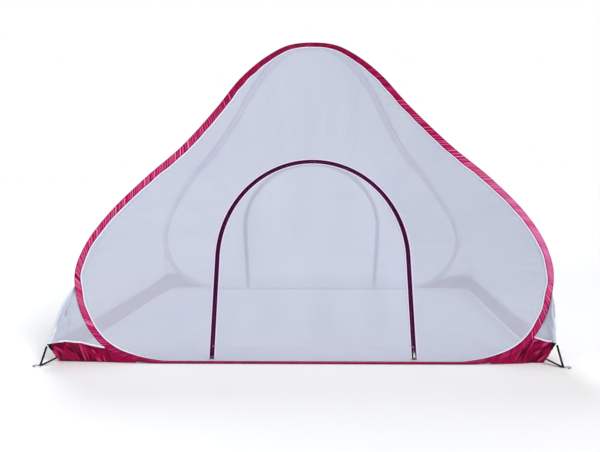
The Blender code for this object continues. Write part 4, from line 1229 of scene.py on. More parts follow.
@dataclass
class NetPanel:
    """The net that a hoop stretches, with its door hole."""

    line: HoopLine
    plane: DoorPlane
    every: int = 4
    inner_rings: int = 34
    bend: float = 0.0104
    sill_band: float = 0.015
    sill_foot: float = 0.002
    pucker: float = 0.0016
    pucker_pitch: float = 0.030
    pucker_reach: float = 0.045
    billow: float = 0.0025
    rounds: int = 1500
    hem_width: float = 0.017
    hem_columns: int = 8
    hem_share: float = 0.45
    hem_out: float = 0.0005
    map_width: float = 0.45
    slot_foot: float = 0.018
    slot_head: float = 0.001
    slot_near: float = 0.06

    def mesh(self) -> Mesh:
        """Rings of points from the slit of the sleeve to the zip.

        Returns:
            The panel's net, with its hole cut.
        """
        line, plane = self.line, self.plane
        picks = np.arange(0, line.stations, self.every)
        count = len(picks)
        low = plane.hinge_height - self.sill_band
        angles = line.angles[picks]
        corner_angle = math.atan2(plane.hinge_height - plane.leg_length, plane.half_width + plane.net_edge)
        right = np.arange(count // 2)
        corner = int(right[np.argmin(np.abs(angles[right] - corner_angle))])
        edge = np.array([plane.ray(a, plane.net_edge, plane.hinge_height) for a in angles])
        guard = np.array([plane.ray(a, plane.surround, low) for a in angles])
        for spot, sign in ((corner, 1), (count - corner, -1)):
            edge[spot] = (sign * (plane.half_width + plane.net_edge), plane.hinge_height)
            guard[spot] = (sign * (plane.half_width + plane.surround), low)
        along = line.sleeve_reach[:, None] + np.array((-0.0030, 0.0004, 0.0054, self.bend))
        rim = line.swayed(line.at(along, 0.0)[picks])
        door = [plane.world(*(guard * (1 - share) + edge * share).T) for share in (0.0, 0.5, 1.0)]
        shares = np.linspace(0, 1, self.inner_rings + 2)[1:-1]
        outer, inner = rim[:, -1], door[0]
        middle = outer[:, None] * (1 - shares)[None, :, None] + inner[:, None] * shares[None, :, None]
        flat = np.minimum(np.arange(count), count - np.arange(count)) <= corner
        across = outer[:, None, 0] * (1 - shares) + inner[:, None, 0] * shares
        height = np.broadcast_to(self.sill_foot * (1 - shares) + low * shares, across.shape)
        middle[flat] = plane.world(across, height)[flat]
        free = ~flat
        block = np.concatenate((outer[:, None], middle, inner[:, None]), axis=1)
        for _ in range(self.rounds):
            around = (np.roll(block, 1, axis=0) + np.roll(block, -1, axis=0))[:, 1:-1]
            pulled = (around + block[:, 2:] + block[:, :-2]) / 4
            block[free, 1:-1] = pulled[free]
        block[:, 1:-1] += self.folds(block, free, picks, corner)
        grid = np.concatenate((rim[:, :-1], block, np.stack(door[1:], axis=1)), axis=1)
        along = np.append(line.way[picks], line.length)
        across = np.linspace(0, self.map_width, grid.shape[1])
        made = woven_mesh("net panel", grid, along, across, (True, False))
        self.cut_slot(made)
        self.hem = self.hem_mesh(np.concatenate((rim[:, 1:-1], block), axis=1), picks, along)
        return made

    def hem_mesh(self, rows: Points, picks: Points, along: Points) -> Mesh:
        """The panel's edge turned over to the front: a second layer of net inside the piping.

        Args:
            rows: The panel's surface from the near edge of the piping on.
            picks: The stations used.
            along: The map's distance of each station.

        Returns:
            The strip, which lies just in front of the panel.
        """
        marks = np.linspace(0.001, self.hem_width, self.hem_columns)
        room = np.linalg.norm(np.diff(rows, axis=1), axis=-1).sum(axis=1) * self.hem_share
        shares = np.minimum(1.0, room / self.hem_width)
        strip = np.stack([resampled(row, marks * share) for row, share in zip(rows, shares)])
        strip += self.hem_out * self.line.outward[picks][:, None]
        return woven_mesh("net hem", strip, along, marks, (True, False))

    def folds(self, block: Points, free: Points, picks: Points, corner: int) -> Points:
        """How far the net stands off its taut shape: puckers at the seam and long soft billows.

        Args:
            block: The taut rings.
            free: Which stations aren't flat on the sill.
            picks: The stations used.
            corner: The station at the hole's bottom corner.

        Returns:
            An offset for each inner point.
        """
        line = self.line
        depth = np.linalg.norm(block[:, 1:-1] - block[:, :1], axis=-1)
        where = line.way[picks][:, None]
        beat = round(line.length / self.pucker_pitch)
        slip = Drift(12, line.length, 0.2, 1.0).at(where) * 0.02
        pucker = np.sin(TAU * beat * (where + slip) / line.length) * np.exp(-depth / self.pucker_reach)
        pucker *= 0.5 + 0.5 * np.abs(Drift(13, line.length, 0.1, 0.6).at(where))
        total = depth + np.linalg.norm(block[:, 1:-1] - block[:, -1:], axis=-1)
        hang = np.sin(math.pi * np.clip(depth / total, 0, 1))
        billow = (Drift(14, line.length, 0.20, 0.9).at(where + 0.35 * depth) * hang)
        count = len(picks)
        steps = np.minimum(np.arange(count), count - np.arange(count)) - corner
        fade = smoothstep(steps / 14)[:, None]
        offset = (self.pucker * pucker + self.billow * billow) * fade
        return offset[:, :, None] * line.outward[picks][:, None] * free[:, None, None]

    def cut_slot(self, mesh: Mesh) -> None:
        """Cut the slot in which the slider rests under the hinge line.

        Args:
            mesh: The panel.
        """
        plane = self.plane
        low, high = self.slot_foot, plane.hinge_height + self.slot_head
        left, right = plane.half_width - plane.net_edge, plane.half_width + plane.net_edge
        foot = Vector(plane.world(0.0, 0.0))
        up = Vector(plane.world(0.0, 1.0)) - foot
        cuts = [(plane.world(across, 0.0), (1.0, 0.0, 0.0)) for across in (left, right)]
        cuts += [(plane.world(0.0, height), up) for height in (low, high)]
        centre = Vector(plane.world((left + right) / 2, (low + high) / 2))
        with editing(mesh) as shape:
            for spot, normal in cuts:
                near = [f for f in shape.faces if (f.calc_center_median() - centre).length < self.slot_near]
                parts = set(near) | {edge for face in near for edge in face.edges}
                parts |= {vertex for face in near for vertex in face.verts}
                bmesh.ops.bisect_plane(shape, geom=list(parts), plane_co=Vector(spot), plane_no=Vector(normal))
            inside = []
            for face in shape.faces:
                spot = face.calc_center_median()
                if left < spot.x < right and low < (spot - foot).dot(up) < high:
                    inside.append(face)
            bmesh.ops.delete(shape, geom=inside, context="FACES")


@dataclass
class Door:
    """The door's net, the two halves of its zip and their white bindings."""

    plane: DoorPlane
    columns: int = 72
    rows: int = 84
    seat: float = 0.0003
    billow: float = 0.006
    zip_gap_half: float = 0.0016
    tape_back: float = 0.0009
    tape_thickness: float = 0.0012
    binding_width: float = 0.0052
    tape_edge: float = 0.0096
    chain_front: float = 0.0034
    box_foot: float = 0.0040
    box_top: float = 0.0180
    stub_top: float = 0.0568
    panel_foot: float = 0.0183
    flap_foot: float = 0.0592
    clip_rows: tuple[tuple[float, float], ...] = (
        (0.0, 0.0012), (0.0004, 0.0004), (0.0012, 0.0), (0.0050, 0.0), (0.0060, 0.0005), (0.0080, 0.0005),
        (0.0090, 0.0), (0.0128, 0.0), (0.0136, 0.0004), (0.0140, 0.0012),
    )
    tooth_pitch: float = 0.0016
    tooth_height: float = 0.0012
    tooth_edge: float = math.radians(50)
    station_pitch: float = 0.0040
    clip_girth: float = 0.045

    def flap(self) -> Mesh:
        """The door's net: taut at the zip, with soft folds that hang from its arch.

        Returns:
            The net inside the zip.
        """
        plane = self.plane
        side, high = plane.half_width - plane.net_edge, plane.arch_rise - plane.net_edge
        bottom = plane.hinge_height + self.seat
        turns = np.linspace(math.pi, 0, self.columns + 1)
        across = side * np.cos(turns)
        top = plane.leg_length + high * np.sin(turns)
        shares = np.linspace(0, 1, self.rows + 1)
        up = bottom + (top - bottom) * shares[:, None]
        across = np.broadcast_to(across, up.shape)
        near = np.minimum(side - np.abs(across), np.minimum(up - bottom, top - up))
        mask = smoothstep(near / 0.10)
        hang = Crumple(21, 0.30, 0.25, 4, 0.0).at(across, up)
        grid = plane.world(across, up, self.billow * mask * hang)
        return woven_mesh("door net", grid, up, across)

    def strip(self, name: str, run: Run, near: float, far: float,
              out: tuple[float, float]) -> Mesh:
        """A tape or binding along the zip, with rounded edges.

        Args:
            name: The mesh's name.
            run: The places along the middle of the zip, and the directions away from the door.
            near: Its edge nearer the middle of the zip; negative distances are on the door.
            far: Its other edge.
            out: The heights of its back and its front.

        Returns:
            A closed mesh.
        """
        places, away = run
        shares = np.array((0.0, 0.03, 0.12, 0.35, 0.65, 0.88, 0.97, 1.0))
        bulge = np.array((0.35, 0.72, 0.94, 1.0, 1.0, 0.94, 0.72, 0.35))
        offsets = there_and_back(near + (far - near) * shares)
        heights = np.concatenate((out[0] + (out[1] - out[0]) * bulge, np.full(len(shares) - 2, out[0])))
        spots = places[:, None] + offsets[None, :, None] * away[:, None]
        grid = self.plane.world(spots[..., 0], spots[..., 1], heights)
        span = np.abs(far - near) * np.concatenate((shares, 1 + shares[1:]))[: len(offsets) + 1]
        return rolled_mesh(name, grid, travelled(places), span)

    def teeth(self, name: str, run: Run, side: int) -> Mesh:
        """Half of the coil: teeth that reach past the middle between those of the other half.

        Args:
            name: The mesh's name.
            run: The places along the middle of the zip, and the directions away from the door.
            side: 1 on the panel, -1 on the door.

        Returns:
            The teeth, on the cord that they are sewn round.
        """
        places, away = run
        if side < 0:
            places, away = (places[1:] + places[:-1]) / 2, unit(away[1:] + away[:-1])
        ahead = unit(np.gradient(places, axis=0))
        half = self.tooth_pitch * 0.23
        front = self.tape_back + self.tape_thickness
        reach = np.array((-0.0010, -0.0006, 0.0030, 0.0042)) * side
        low = np.array((front - 0.0012, front - 0.0012, front - 0.0004, front - 0.0004))
        high = front + self.tooth_height * np.array((0.55, 1.0, 0.95, 0.35))
        spans = np.array((-half, half))
        spots = (places[:, None, None] + reach[:, None, None] * away[:, None, None]
                 + spans[:, None] * ahead[:, None, None])
        lower = self.plane.world(spots[..., 0], spots[..., 1], low[None, :, None])
        upper = self.plane.world(spots[..., 0], spots[..., 1], high[None, :, None])
        ring = np.stack((lower[:, :, 0], lower[:, :, 1], upper[:, :, 1], upper[:, :, 0]), axis=2)
        block = [
            (4 * ring_at + k, 4 * ring_at + 4 + k, 4 * ring_at + 4 + (k + 1) % 4, 4 * ring_at + (k + 1) % 4)
            for ring_at in range(3) for k in range(4)
        ]
        block += [(0, 1, 2, 3), (15, 14, 13, 12)]
        faces = (np.array(block)[None] + 16 * np.arange(len(places))[:, None, None]).reshape(-1, 4)
        mesh = bpy.data.meshes.new(name)
        mesh.from_pydata(ring.reshape(-1, 3).tolist(), [], faces.tolist())
        layer = mesh.uv_layers.new(name=CLOTH_MAP)
        spread = np.stack((np.repeat(np.arange(len(places)) * self.tooth_pitch, 16),
                           np.tile(np.repeat(reach, 4), len(places))), axis=1)
        layer.uv.foreach_set("vector", spread[faces.reshape(-1)].reshape(-1).astype(np.float32))
        with editing(mesh) as shape:
            bmesh.ops.recalc_face_normals(shape, faces=shape.faces)
        mesh.shade_smooth()
        mesh.set_sharp_from_angle(angle=self.tooth_edge)
        return mesh

    def clip(self) -> Mesh:
        """The enamelled box over the foot of the zip, with rounded edges and a crimped waist.

        Returns:
            A closed mesh on the right leg.
        """
        places, _ = self.plane.leg(self.box_foot, self.box_top, 0.001)
        levels, inset = np.array(self.clip_rows).T
        turns = np.linspace(0, TAU, 40, endpoint=False)
        wide, deep = self.tape_edge, (self.chain_front - self.tape_back) / 2
        side = np.sign(np.cos(turns)) * np.abs(np.cos(turns)) ** 0.25
        front = np.sign(np.sin(turns)) * np.abs(np.sin(turns)) ** 0.45
        across = places[0, 0] + side * (wide - inset)[:, None]
        out = self.tape_back + deep + front * (deep - 0.5 * inset)[:, None]
        grid = self.plane.world(across, self.box_foot + levels[:, None], out)
        return rolled_mesh("zip clip", grid, levels, np.linspace(0, self.clip_girth, len(turns) + 1))

    def meshes(self) -> dict[str, Mesh]:
        """The shapes of the doors, by the names under which their pieces look them up.

        Returns:
            A mesh for each name.
        """
        plane = self.plane
        front = self.tape_back + self.tape_thickness
        level = (self.tape_back, front)
        gap, tape, edge = self.zip_gap_half, self.tape_edge, self.tape_edge + self.seat
        far = edge + self.binding_width
        pitch, fine = self.station_pitch, self.tooth_pitch
        door, stub = plane.arch(self.flap_foot, pitch), plane.leg(self.box_top, self.stub_top, pitch)
        foot, panel = plane.leg(self.box_foot, self.stub_top, pitch), plane.arch(self.panel_foot, pitch)
        strips = {
            "outer tape": (panel, gap, tape), "inner tape": (door, -tape, -gap),
            "outer binding": (plane.arch(self.box_foot, pitch), edge, far),
            "inner binding": (door, -far, -edge),
            "stub tape": (stub, -tape, -gap), "stub binding": (foot, -far, -edge),
        }
        coils = {
            "outer coil": (plane.arch(self.flap_foot, fine), 1),
            "inner coil": (plane.arch(self.flap_foot, fine), -1),
            "stub coil": (plane.leg(self.box_top, self.stub_top, fine), -1),
            "foot coil": (plane.leg(self.box_top, self.flap_foot, fine), 1),
        }
        made = {name: self.strip(name, *shape, level) for name, shape in strips.items()}
        made |= {name: self.teeth(name, *shape) for name, shape in coils.items()}
        return made | {"flap": self.flap(), "clip": self.clip()}


@dataclass
class TentEnd:
    """The right end: its satin band, the piping along the band's top and the net above it."""

    line: HoopLine
    band_foot: float = 0.0035
    band_start_share: float = 0.735
    corner_x: float = 1.032
    corner_y: float = 0.915
    corner_inset: float = 0.036
    corner_pull: float = 0.050
    near_height: float = 0.108
    far_height: float = 0.060
    side_sag: float = 0.016
    seam_gap: float = 0.0009
    tuck: float = 0.0031
    corner_run_shares: tuple[float, ...] = (0.16, 0.42, 0.70, 1.00)
    side_columns: int = 24
    coarse_stations: int = 30
    ridge_heights: tuple[float, float] = (0.270, 0.340)
    wrap_height: float = 0.330
    wrap_bulge: float = 0.0012
    ridge_power: float = 1.7
    least_apart: float = 0.004
    top_share: float = 0.036
    sway_hold_share: float = 0.85
    net_columns: int = 12
    corner_column: int = 2
    refine_steps: tuple[int, int] = (8, 36)
    ray_count: float = 17.0
    ray_reach: float = 0.26
    ray_share: float = 0.9
    ray_start: float = 0.10
    net_fold: float = 0.0060
    calm_top: float = 0.30
    calm_foot: float = 0.07
    calm_side: float = 0.035
    pleat_lift: float = 0.5
    pleats: tuple[tuple[float, float, float], ...] = ((-0.10, 0.030, 0.24), (0.50, 0.020, 0.34))
    piping_back: float = 0.0006
    piping_width: float = 0.0070
    piping_thickness: float = 0.0012
    piping_wave: float = 0.0010
    piping_girth: float = 0.0160
    band_ground: float = 0.0012
    band_nod: float = 0.0015
    fold_depth: float = 0.0070
    band_rows: int = 26
    band_pitch: float = 0.0038
    under_columns: int = 6
    near_lifts: tuple[float, ...] = (-0.002, 0.001, 0.006, 0.012)
    far_lifts: tuple[float, ...] = (0.003, 0.014, 0.016, 0.000)

    def __post_init__(self) -> None:
        """Lay out the band's route as the frame has it."""
        self.offset = self.line.sleeve_half + self.seam_gap
        self.picks = self.coarse_picks()
        self.route()

    def coarse_picks(self) -> Points:
        """Stations of the right half, spaced as the frame's solids have them.

        Returns:
            The stations' numbers.
        """
        line = self.line
        half = line.centres[: line.stations // 2 + 1]
        runs = np.diff(half, axis=0)
        lengths = np.linalg.norm(runs, axis=1)
        turns = np.arccos(np.clip(np.sum(runs[1:] * runs[:-1], axis=1) / (lengths[1:] * lengths[:-1]), -1, 1))
        weights = lengths / lengths.sum()
        weights[1:] += 0.45 * turns / turns.sum()
        shares = half[1:, 0] / line.half_width
        twisting = (shares > line.twist_start_share) & (shares < line.twist_end_share)
        twisting &= half[1:, 2] < line.band_height
        weights += 0.25 * twisting * lengths / lengths[twisting].sum()
        way = np.concatenate(((0.0,), np.cumsum(weights)))
        marks = np.linspace(0, way[-1], self.coarse_stations + 1)
        return np.array([int(np.argmin(np.abs(way - mark))) for mark in marks])

    def beside(self, station: int, along: float, out: float) -> Points:
        """A place beside the wire at one station."""
        line = self.line
        return line.centres[station] + along * line.inward[station] + out * line.outward[station]

    def half_route(self, height: float, lifts: tuple[float, ...]) -> tuple[list[Points], list[Points], int]:
        """The band's edges from under the front hoop round the corner to the middle of the end.

        Args:
            height: How high on the sleeve the band's top ends.
            lifts: What its top stands above its usual height, from the sleeve to the corner.

        Returns:
            The top edge, the bottom edge and the number of columns under the hoop.
        """
        line = self.line
        steps = np.linspace(self.picks[0], line.stations // 4, 600).astype(int)
        under = [
            i for i in steps
            if line.centres[i][0] >= self.band_start_share * line.half_width
            and self.beside(i, -self.offset, 0.0)[2] <= height and line.centres[i][2] < line.rise / 2
        ]
        under = [under[round(k)] for k in np.linspace(0, len(under) - 1, self.under_columns)]
        tops = [self.beside(i, -self.tuck, 0.0) for i in under]
        bottoms = [np.array((p[0], p[1], min(self.band_foot, p[2] - 2 * self.seam_gap))) for p in tops]
        start, corner = tops[-1], np.array((self.corner_x, -self.corner_y, line.band_height))
        for share, lift in zip(self.corner_run_shares, lifts):
            top = start * (1 - share) + corner * share
            inset = self.corner_inset * share
            tops.append(top + (0.0, 0.0, lift))
            bottoms.append(np.array((top[0] - inset, top[1] + inset, self.band_foot)))
        half = self.side_columns // 2
        for step in range(1, half + 1):
            share = step / half
            x = self.corner_x - self.side_sag * (1 - (1 - share) ** 2)
            inset = self.corner_inset * (1 - smoothstep(2 * share) / 2)
            top = line.band_height + lifts[-1] * float(1 - smoothstep(1.6 * share))
            tops.append(np.array((x, -self.corner_y * (1 - share), top)))
            foot_y = -(self.corner_y - self.corner_inset) * (1 - share)
            bottoms.append(np.array((x - inset, foot_y, self.band_foot)))
        return tops, bottoms, under[-1]

    def route(self) -> None:
        """The top and bottom edges of the band, from under the hoop round the corner to the rear."""
        tops, bottoms, self.junction = self.half_route(self.near_height, self.near_lifts)
        rear_tops, rear_bottoms, self.rear_junction = self.half_route(self.far_height, self.far_lifts)
        self.corner = self.under_columns + len(self.corner_run_shares) - 1
        self.tops = np.array(tops + [point * FLIP for point in reversed(rear_tops[:-1])])
        self.bottoms = np.array(bottoms + [point * FLIP for point in reversed(rear_bottoms[:-1])])
        self.foot = self.net_foot()
        self.pull_corners()

    def pull_corners(self) -> None:
        """Pull the rear corner out and let the front one in, with what lies between in proportion."""
        last = len(self.corner_run_shares) - 1
        count = len(self.tops)
        for i in range(count):
            run = min(i, count - 1 - i) - self.under_columns
            if run >= 0:
                share = self.corner_pull * self.corner_run_shares[min(run, last)]
                shift = share * self.tops[i][1] / self.corner_y
                self.tops[i][0] += shift
                self.bottoms[i][0] += shift

    @cached_property
    def fine(self) -> tuple[Points, Points, Points, Points]:
        """The band's edges closely spaced, with the way along them and the level way out.

        Returns:
            The distances, the top edge, the bottom edge and the directions out.
        """
        way = travelled(self.tops)
        marks = np.linspace(0, way[-1], round(way[-1] / self.band_pitch) + 1)
        top, bottom = (
            np.stack([np.interp(marks, way, edge[:, k]) for k in range(3)], axis=1)
            for edge in (self.tops, self.bottoms)
        )
        run = unit(np.gradient(top, axis=0) * (1, 1, 0))
        run = unit(self.rounded(run, 9))
        return marks, top, bottom, np.stack((run[:, 1], -run[:, 0], np.zeros(len(run))), axis=1)

    @staticmethod
    def rounded(rows: Points, width: int) -> Points:
        """Average neighbouring rows.

        Args:
            rows: Values along the first axis.
            width: How many rows each average takes.

        Returns:
            As many rows.
        """
        reach = width // 2
        padded = np.concatenate((rows[:1].repeat(reach, 0), rows, rows[-1:].repeat(reach, 0)))
        return sum(padded[k : k + len(rows)] for k in range(width)) / width

    def band(self) -> Mesh:
        """The satin band: sewn straight along its top, crumpled where it hangs slack below.

        Returns:
            An open mesh.
        """
        marks, top, bottom, out = self.fine
        shares = np.linspace(0, 1, self.band_rows + 1)
        face = top[:, None] * (1 - shares)[None, :, None] + bottom[:, None] * shares[None, :, None]
        height = np.linalg.norm(top - bottom, axis=1)
        down = height[:, None] * shares
        along = np.broadcast_to(marks[:, None], down.shape)
        slack = np.sin(math.pi * shares * 0.62) ** 0.8 * (1 - 0.6 * smoothstep((shares - 0.75) / 0.22))
        room = smoothstep((height - 0.012) / 0.06)[:, None]
        swell = Crumple(31, 0.11, 0.8, 4, 0.3).at(along, down)
        valleys, shoulders = Creases(32, marks[-1], self.line.band_height).at(along, down)
        lift = self.fold_depth * (0.55 * swell + 0.75 * shoulders - 0.85 * valleys)
        grid = face + (lift * slack * room)[:, :, None] * out[:, None]
        grid[:, :, 2] += self.band_nod * swell * slack * room
        grid[:, :, 2] = np.maximum(grid[:, :, 2], self.band_ground)
        self.cloth = grid
        # Painted light on the band: painted shade in the crease valleys and darker towards the foot, painted
        # highlights on the shoulders and swells.
        foot = smoothstep((down / height[:, None] - 0.86) / 0.12)
        crest = 0.40 + 0.16 * swell + (0.62 * shoulders - 0.72 * valleys - 0.30 * foot) * room
        return woven_mesh("end band", grid, along, down, fold=np.clip(crest, 0, 1))

    def piping(self) -> Mesh:
        """The white piping along the band's top edge, on the outside of the net.

        Returns:
            A closed mesh.
        """
        marks, top, _, out = self.fine
        ends = (self.tops[self.under_columns - 1], self.tops[-self.under_columns])
        first, last = (int(np.argmin(np.linalg.norm(top - place, axis=1))) for place in ends)
        pick = slice(first + 1, last)
        shares = np.array((0.0, 0.04, 0.15, 0.5, 0.85, 0.96, 1.0))
        bulge = np.array((0.30, 0.70, 0.95, 1.0, 0.95, 0.70, 0.30))
        near = self.piping_back + self.seam_gap
        up = self.seam_gap + self.piping_width * there_and_back(shares)
        stand = np.concatenate((near + self.piping_thickness * bulge, np.full(len(shares) - 2, near)))
        wave = self.piping_wave * Drift(41, marks[-1], 0.05, 0.3).at(marks[pick])
        grid = top[pick][:, None] + stand[None, :, None] * out[pick][:, None]
        grid[:, :, 2] += up + wave[:, None]
        return rolled_mesh("band piping", grid, marks[pick], np.linspace(0, self.piping_girth, len(up) + 1))

    def net_foot(self) -> list[Points]:
        """The net's bottom border, just above the band, from the front hoop to the rear one.

        Returns:
            A point for each column of the net's coarse grid.
        """
        middle = (len(self.tops) - 1) // 2
        columns = self.net_columns // 2 - 2
        picks = [self.corner - 1, self.corner]
        picks += [self.corner + round((middle - self.corner) * k / columns) for k in range(1, columns + 1)]
        last = len(self.tops) - 1
        lift = np.array((0.0, 0.0, 2 * self.seam_gap))
        near = self.tops[self.under_columns - 1] + self.line.tangents[self.junction] * 2 * self.seam_gap
        far = self.tops[-self.under_columns] + self.line.tangents[self.rear_junction] * FLIP * 2 * self.seam_gap
        front = [self.tops[i] + lift for i in picks]
        rear = [self.tops[last - i] + lift for i in reversed(picks[:-1])]
        return [near, *front, *rear, far]

    def border(self, station: int) -> Points:
        """Where the end net meets the sleeve: behind its fold, and lower down round to the outside.

        Args:
            station: The hoop's station.

        Returns:
            The place.
        """
        height = self.line.centres[station][2]
        wrap = float(smoothstep((self.wrap_height - height) / (self.wrap_height - self.line.band_height)))
        radius = self.offset + self.wrap_bulge * math.sin(math.pi * wrap)
        turn = math.pi / 2 * wrap
        return self.beside(station, -radius * math.sin(turn), -radius * math.cos(turn))

    def taut(self) -> Points:
        """The end net's coarse grid, pulled taut between the sleeves, the band and the ridge.

        Returns:
            Rows of points from the apex down to the band.
        """
        line = self.line
        half = line.stations // 2
        rows = [
            i for i in self.picks
            if line.centres[i][2] >= line.band_height and i < half
            and line.centres[i][0] >= self.top_share * line.half_width
        ][::-1]
        share = (np.arange(len(rows)) / (len(rows) - 1)) ** 3
        near, far = (
            [self.border(round(i + (junction - rows[-1]) * part)) * way for i, part in zip(rows, share)]
            for junction, way in ((self.junction, 1), (self.rear_junction, FLIP))
        )
        foot = self.foot
        width, height = len(foot), len(rows)
        shares = travelled(np.array(foot))
        shares = shares / shares[-1]
        low_half = self.picks[: self.coarse_stations // 2]
        ridge_tops = [
            self.border(min(low_half, key=lambda i: abs(line.centres[i][2] - height)))
            for height in self.ridge_heights
        ]
        bases = foot[self.corner_column], foot[width - 1 - self.corner_column]
        grid, held = np.zeros((height, width, 3)), np.zeros((height, width), bool)
        for row in range(height):
            grid[row] = near[row] * (1 - shares)[:, None] + far[row] * shares[:, None]
            sides = zip((near[row], far[row]), bases, ridge_tops, self.ridge_heights, (1, -1))
            ridges = [self.ridge(*side) if side[0][2] < side[3] else side[0] for side in sides]
            if row and near[row][2] < max(self.ridge_heights):
                inner = slice(self.corner_column, width - self.corner_column)
                part = (shares[inner] - shares[self.corner_column]) / (1 - 2 * shares[self.corner_column])
                grid[row, inner] = ridges[0] * (1 - part)[:, None] + ridges[1] * part[:, None]
                ends = ((1, 2, near[row]), (width - 2, width - 3, far[row]))
                for ridge, (column, corner, edge), height in zip(ridges, ends, self.ridge_heights):
                    grid[row, column] = (edge + ridge) / 2
                    held[row, column] = held[row, corner] = edge[2] < height
        grid[-1] = foot
        held[0], held[-1], held[:, 0], held[:, -1] = True, True, True, True
        grid = self.relaxed(grid, held)
        pulls = np.array((0.0, self.corner_run_shares[-2], 1.0))
        columns = np.arange(width)
        pull = pulls[np.minimum(np.minimum(columns, width - 1 - columns), self.corner_column)]
        heights = np.array(near)[:, 2]
        tops = np.interp(shares, (0.0, 1.0), self.ridge_heights)
        lifts = (heights[:, None] - heights[-1]) / (tops - heights[-1])
        fade = 1 - np.clip(lifts, 0, 1) ** self.ridge_power
        grid[..., 0] += self.corner_pull * fade * pull * grid[..., 1] / self.corner_y
        held_share = grid[..., 1] / (np.array(near)[:, None, 1] * self.sway_hold_share)
        return line.swayed(grid, np.clip(held_share, -1, 1))

    def ridge(self, edge: Points, base: Points, top: Points, height: float, way: int) -> Points:
        """Where the ridge that runs up from a base corner stands at the height of one row.

        Args:
            edge: The row's end on the sleeve.
            base: The ridge's foot at the corner.
            top: Where it meets the front hoop's sleeve.
            height: How high that is.
            way: 1 at the front hoop, -1 at the rear one.

        Returns:
            A place at the same height as the edge.
        """
        part = float(np.clip((edge[2] - base[2]) / (height - base[2]), 0, 1)) ** self.ridge_power
        place = base * (1 - part) + top * (1, way, 1) * part
        place[2] = edge[2]
        return place

    def relaxed(self, grid: Points, held: Points) -> Points:
        """Move the free points until their neighbours' pulls balance, near ones pulling more.

        Args:
            grid: The starting points.
            held: Which points stay.

        Returns:
            The balanced grid.
        """
        free = np.argwhere(~held)
        index = {tuple(spot): row for row, spot in enumerate(free.tolist())}
        pull, goal = np.zeros((len(free), len(free))), np.zeros((len(free), 3))
        for (row, column), line in index.items():
            for other in ((row - 1, column), (row + 1, column), (row, column - 1), (row, column + 1)):
                apart = grid[other] - grid[row, column]
                weight = 1 / max(apart.dot(apart), self.least_apart ** 2)
                pull[line, line] += weight
                if other in index:
                    pull[line, index[other]] -= weight
                else:
                    goal[line] += weight * grid[other]
        grid[tuple(free.T)] = np.linalg.solve(pull, goal)
        return grid

    def net(self) -> Mesh:
        """The end net, taut with long folds that run up from the base corners.

        Returns:
            An open mesh.
        """
        coarse = self.taut()
        rows = refined(coarse, self.refine_steps[0])
        grid = refined(rows.swapaxes(0, 1), self.refine_steps[1]).swapaxes(0, 1)
        along, across = (
            np.cumsum(np.linalg.norm(np.diff(grid, axis=k, prepend=grid.take([0], k)), axis=-1), axis=k)
            for k in (0, 1)
        )
        normal = unit(np.cross(np.gradient(grid, axis=0), np.gradient(grid, axis=1)) + 1e-12)
        normal *= np.sign(normal[..., :1] + 1e-12)
        mask = smoothstep(along / self.calm_top) * smoothstep((along[-1:] - along) / self.calm_foot)
        mask = mask * smoothstep(across / self.calm_side)
        mask = mask * smoothstep((across[:, -1:] - across) / self.calm_side)
        corner = self.corner_column * self.refine_steps[1]
        folds = Crumple(51, 0.32, 0.6, 4, 0.25).at(along, across) * 0.6
        pleat = np.zeros(along.shape)
        for column, way in ((corner, 1.0), (grid.shape[1] - 1 - corner, -1.0)):
            run = (across - across[:, column : column + 1]) * way
            rise = grid[..., 2] - grid[-1:, column : column + 1, 2]
            apart = np.hypot(run, rise)
            fan = np.arctan2(rise, run)
            rays = np.sin(self.ray_count * fan + 0.9 * np.sin(3 * fan)) * np.exp(-apart / self.ray_reach)
            folds = folds + self.ray_share * rays * smoothstep(apart / self.ray_start)
            for lean, width, height in self.pleats:
                off = run - lean * rise
                half = width * (1 - rise / height)
                inside = smoothstep((half - np.abs(off)) / 0.007 + 0.5) * smoothstep((height - rise) / 0.05)
                pleat = np.maximum(pleat, inside)
                folds = folds + self.pleat_lift * inside * mask
        grid = grid + (self.net_fold * mask * folds)[..., None] * normal
        fold = EVEN_FOLD + (1 - EVEN_FOLD) * np.clip(pleat, 0, 1)
        return woven_mesh("end net", grid, along, across, fold=fold)


